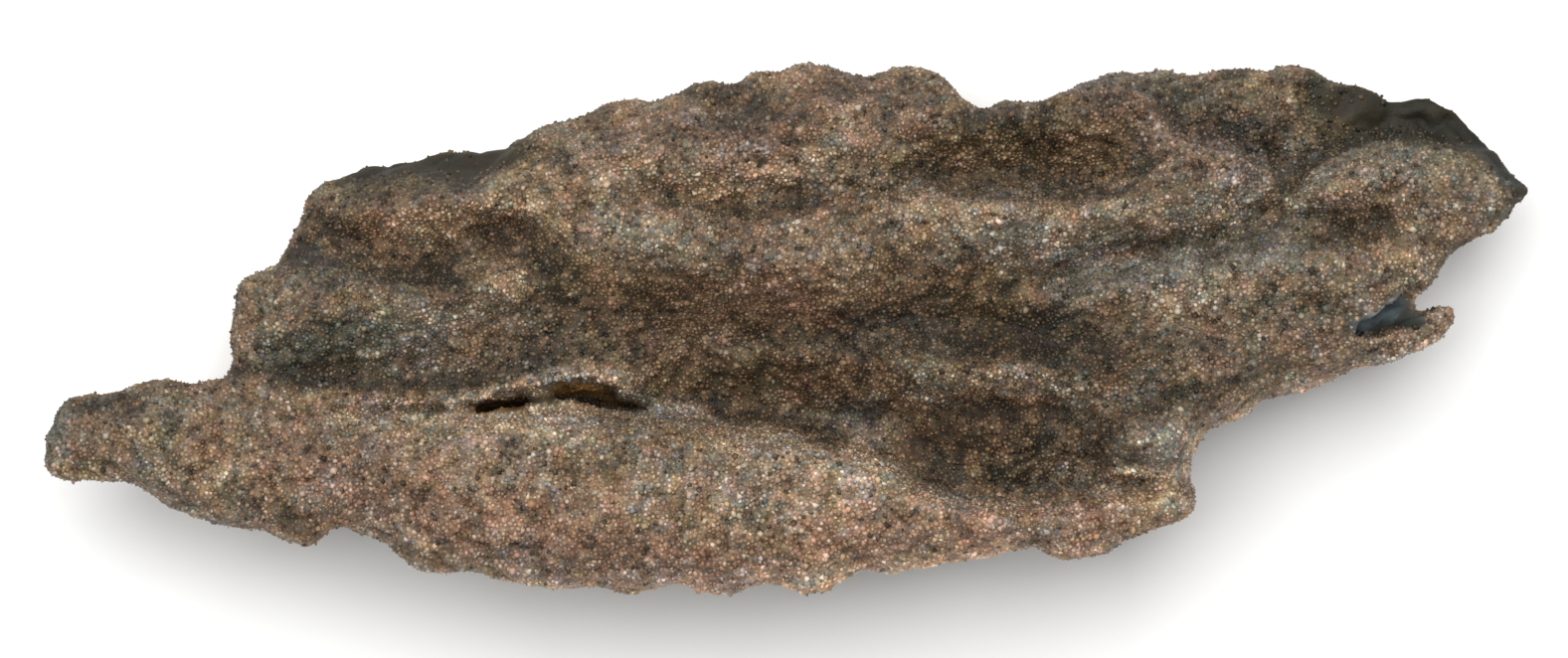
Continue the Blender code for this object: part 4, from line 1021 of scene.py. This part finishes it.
def crust_material(finish):
    """Fused sand between and under the grains."""
    material, tree, shader = new_material("crust_matrix")
    where = tree.nodes.new("ShaderNodeTexCoord").outputs["Object"]
    cells = tree.nodes.new("ShaderNodeTexVoronoi")
    cells.inputs["Scale"].default_value = 1.0 / (GRAIN_CELL * MM)
    tree.links.new(where, cells.inputs["Vector"])
    split = tree.nodes.new("ShaderNodeSeparateColor")
    tree.links.new(cells.outputs["Color"], split.inputs[0])
    ramp = tree.nodes.new("ShaderNodeValToRGB")
    ramp.color_ramp.interpolation = "CONSTANT"
    elements = ramp.color_ramp.elements
    start = 0.0
    for number, (_, share, deep, light, _, _, _) in enumerate(GRAIN_KINDS):
        element = elements[number] if number < len(elements) else elements.new(start)
        element.position = start
        element.color = (*[(a + b) / 2 for a, b in zip(deep, light)], 1.0)
        start += share
    tree.links.new(split.outputs[0], ramp.inputs[0])
    seam = ranged(tree, cells.outputs["Distance"], *SEAM_FROM, *SEAM_SHARE)
    colour = mixed(tree, seam, ramp.outputs[0], tuple(finish.matrix))
    glass_and_painted_shade = attribute(tree, "glass_and_painted_shade")
    # glass on the bare bands, and as painted shade where the tone is darkest
    colour = mixed(tree, glass_and_painted_shade, colour, tuple(finish.glass))
    cool = math_node(tree, "MULTIPLY", attribute(tree, "lined"), -1.0)
    colour = mixed(tree, cool, colour, tuple(finish.mouth))
    tree.links.new(weathered_and_shaded(tree, colour, tuple(finish.lining)), shader.inputs["Base Color"])
    rough = ranged(tree, glass_and_painted_shade, 0.0, 1.0, finish.matrix_roughness, GLASS_ROUGHNESS)
    tree.links.new(rough, shader.inputs["Roughness"])
    shader.inputs["Specular IOR Level"].default_value = SHEEN
    bump = tree.nodes.new("ShaderNodeBump")
    bump.invert = True
    tree.links.new(ranged(tree, attribute(tree, "bare"), 0.0, 1.0, *BUMP_STRENGTH),
                   bump.inputs["Strength"])
    bump.inputs["Distance"].default_value = BUMP_DEPTH
    tree.links.new(cells.outputs["Distance"], bump.inputs["Height"])
    tree.links.new(bump.outputs[0], shader.inputs["Normal"])
    return material


class FULGURITE_OT_crust(bpy.types.Operator):
    """Lay the sandy skin over the solid"""
    bl_idname = "fulgurite.lay_crust"
    bl_label = "Lay crust"

    def execute(self, context):
        sizes = context.scene.fulgurite_crust
        crust = skin_of_solid(sizes.skin_step)
        draw_out(crust.data)
        raise_relief(crust.data, sizes.relief_share)
        apply_modifier(crust, "REMESH", "skin_again", mode="VOXEL", voxel_size=sizes.skin_step)
        apply_modifier(crust, "SMOOTH", "ease", factor=SMOOTHING, iterations=EASE_PASSES)
        raise_lumps(crust.data, sizes.lump_height, sizes.crumb_height)
        stain_and_shade(crust.data)
        thin_out(crust, MOST_TRIANGLES)
        crust.data.shade_smooth()
        crust.data.materials.append(crust_material(context.scene.fulgurite_finish))
        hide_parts(NODE)
        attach(crust, BODY)
        return {"FINISHED"}


class FULGURITE_OT_grains(bpy.types.Operator):
    """Scatter the sand grains, a mesh for each kind"""
    bl_idname = "fulgurite.scatter_grains"
    bl_label = "Scatter grains"

    def execute(self, context):
        settings = context.scene.fulgurite_grains
        draw = np.random.default_rng(settings.seed)
        found = scatter(bpy.data.objects["sand_crust"], settings.spacing, settings.seed)
        shapes = grain_shapes()
        pick = grain_kinds(found, draw)
        lining = tuple(context.scene.fulgurite_finish.lining)
        for number, (name, _, deep, light, roughness, _, _) in enumerate(GRAIN_KINDS):
            chosen = pick == number
            own = {key: values[chosen] for key, values in found.items()}
            mesh = grain_mesh(name, own, shapes, settings, draw)
            mesh.materials.append(grain_material(name, deep, light, roughness, lining))
            grains = bpy.data.objects.new(name, mesh)
            context.scene.collection.objects.link(grains)
            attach(grains, BODY)
        return {"FINISHED"}


class FULGURITE_OT_stage(bpy.types.Operator):
    """Set the floor, the soft lamps and the camera"""
    bl_idname = "fulgurite.set_stage"
    bl_label = "Set stage"

    def execute(self, context):
        scene, stage = context.scene, context.scene.fulgurite_stage
        deselect_all()
        bpy.ops.mesh.primitive_plane_add(size=FLOOR_SIZE)
        floor = bpy.context.object
        floor.name = "floor"
        material, _, shader = new_material("floor_card")
        shader.inputs["Base Color"].default_value = (*stage.floor_colour, 1.0)
        shader.inputs["Roughness"].default_value = FLOOR_ROUGHNESS
        floor.data.materials.append(material)

        lamp = bpy.data.lights.new("key", "AREA")
        lamp.shape = "RECTANGLE"
        lamp.size, lamp.size_y = KEY_SIZE
        lamp.energy = stage.key_power
        key = bpy.data.objects.new("key", lamp)
        scene.collection.objects.link(key)
        key.location = KEY_PLACE
        key.rotation_euler = Vector(KEY_PLACE).to_track_quat("Z", "Y").to_euler()

        world = bpy.data.worlds.new("soft_sky")
        world.use_nodes = True
        world.node_tree.nodes["Background"].inputs["Color"].default_value = (1.0, 1.0, 1.0, 1.0)
        world.node_tree.nodes["Background"].inputs["Strength"].default_value = stage.fill_strength
        scene.world = world
        scene.view_settings.view_transform = "Standard"

        camera = bpy.data.cameras.new("camera")
        camera.lens = LENS
        camera.sensor_width = SENSOR
        camera.clip_start = NEAREST
        viewer = bpy.data.objects.new("camera", camera)
        scene.collection.objects.link(viewer)
        distance = VIEW_WIDTH * LENS / SENSOR
        viewer.location = (VIEW_CENTRE[0] * MM, VIEW_CENTRE[1] * MM,
                           (VIEW_HEIGHT + distance) * MM)
        scene.camera = viewer
        return {"FINISHED"}


class FULGURITE_PT_panel(bpy.types.Panel):
    """The fulgurite's pieces and their settings"""
    bl_label = "Fulgurite"
    bl_idname = "FULGURITE_PT_panel"
    bl_space_type = "VIEW_3D"
    bl_region_type = "UI"
    bl_category = "Fulgurite"

    def draw(self, context):
        for group, operator in PANEL_ROWS:
            box = self.layout.box()
            settings = getattr(context.scene, group)
            for key in settings.bl_rna.properties.keys():
                if key not in ("rna_type", "name"):
                    box.prop(settings, key)
            if operator:
                box.operator(operator)


PANEL_ROWS = (
    ("fulgurite_finish", None),
    ("fulgurite_crust", "fulgurite.lay_crust"),
    ("fulgurite_grains", "fulgurite.scatter_grains"),
    ("fulgurite_stage", "fulgurite.set_stage"),
)
GROUPS = {
    "fulgurite_finish": FulguriteFinish,
    "fulgurite_crust": FulguriteCrust,
    "fulgurite_grains": FulguriteGrains,
    "fulgurite_stage": FulguriteStage,
}
CLASSES = (*GROUPS.values(), FULGURITE_OT_crust, FULGURITE_OT_grains, FULGURITE_OT_stage,
           FULGURITE_PT_panel)


def register():
    """Add the classes and their settings."""
    for kind in CLASSES:
        bpy.utils.register_class(kind)
    for name, kind in GROUPS.items():
        setattr(bpy.types.Scene, name, bpy.props.PointerProperty(type=kind))


def unregister():
    """Take the classes and their settings away."""
    for name in GROUPS:
        delattr(bpy.types.Scene, name)
    for kind in reversed(CLASSES):
        bpy.utils.unregister_class(kind)


def main():
    """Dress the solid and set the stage."""
    register()
    bpy.ops.fulgurite.lay_crust()
    bpy.ops.fulgurite.scatter_grains()
    bpy.ops.fulgurite.set_stage()


if __name__ == "__main__":
    main()
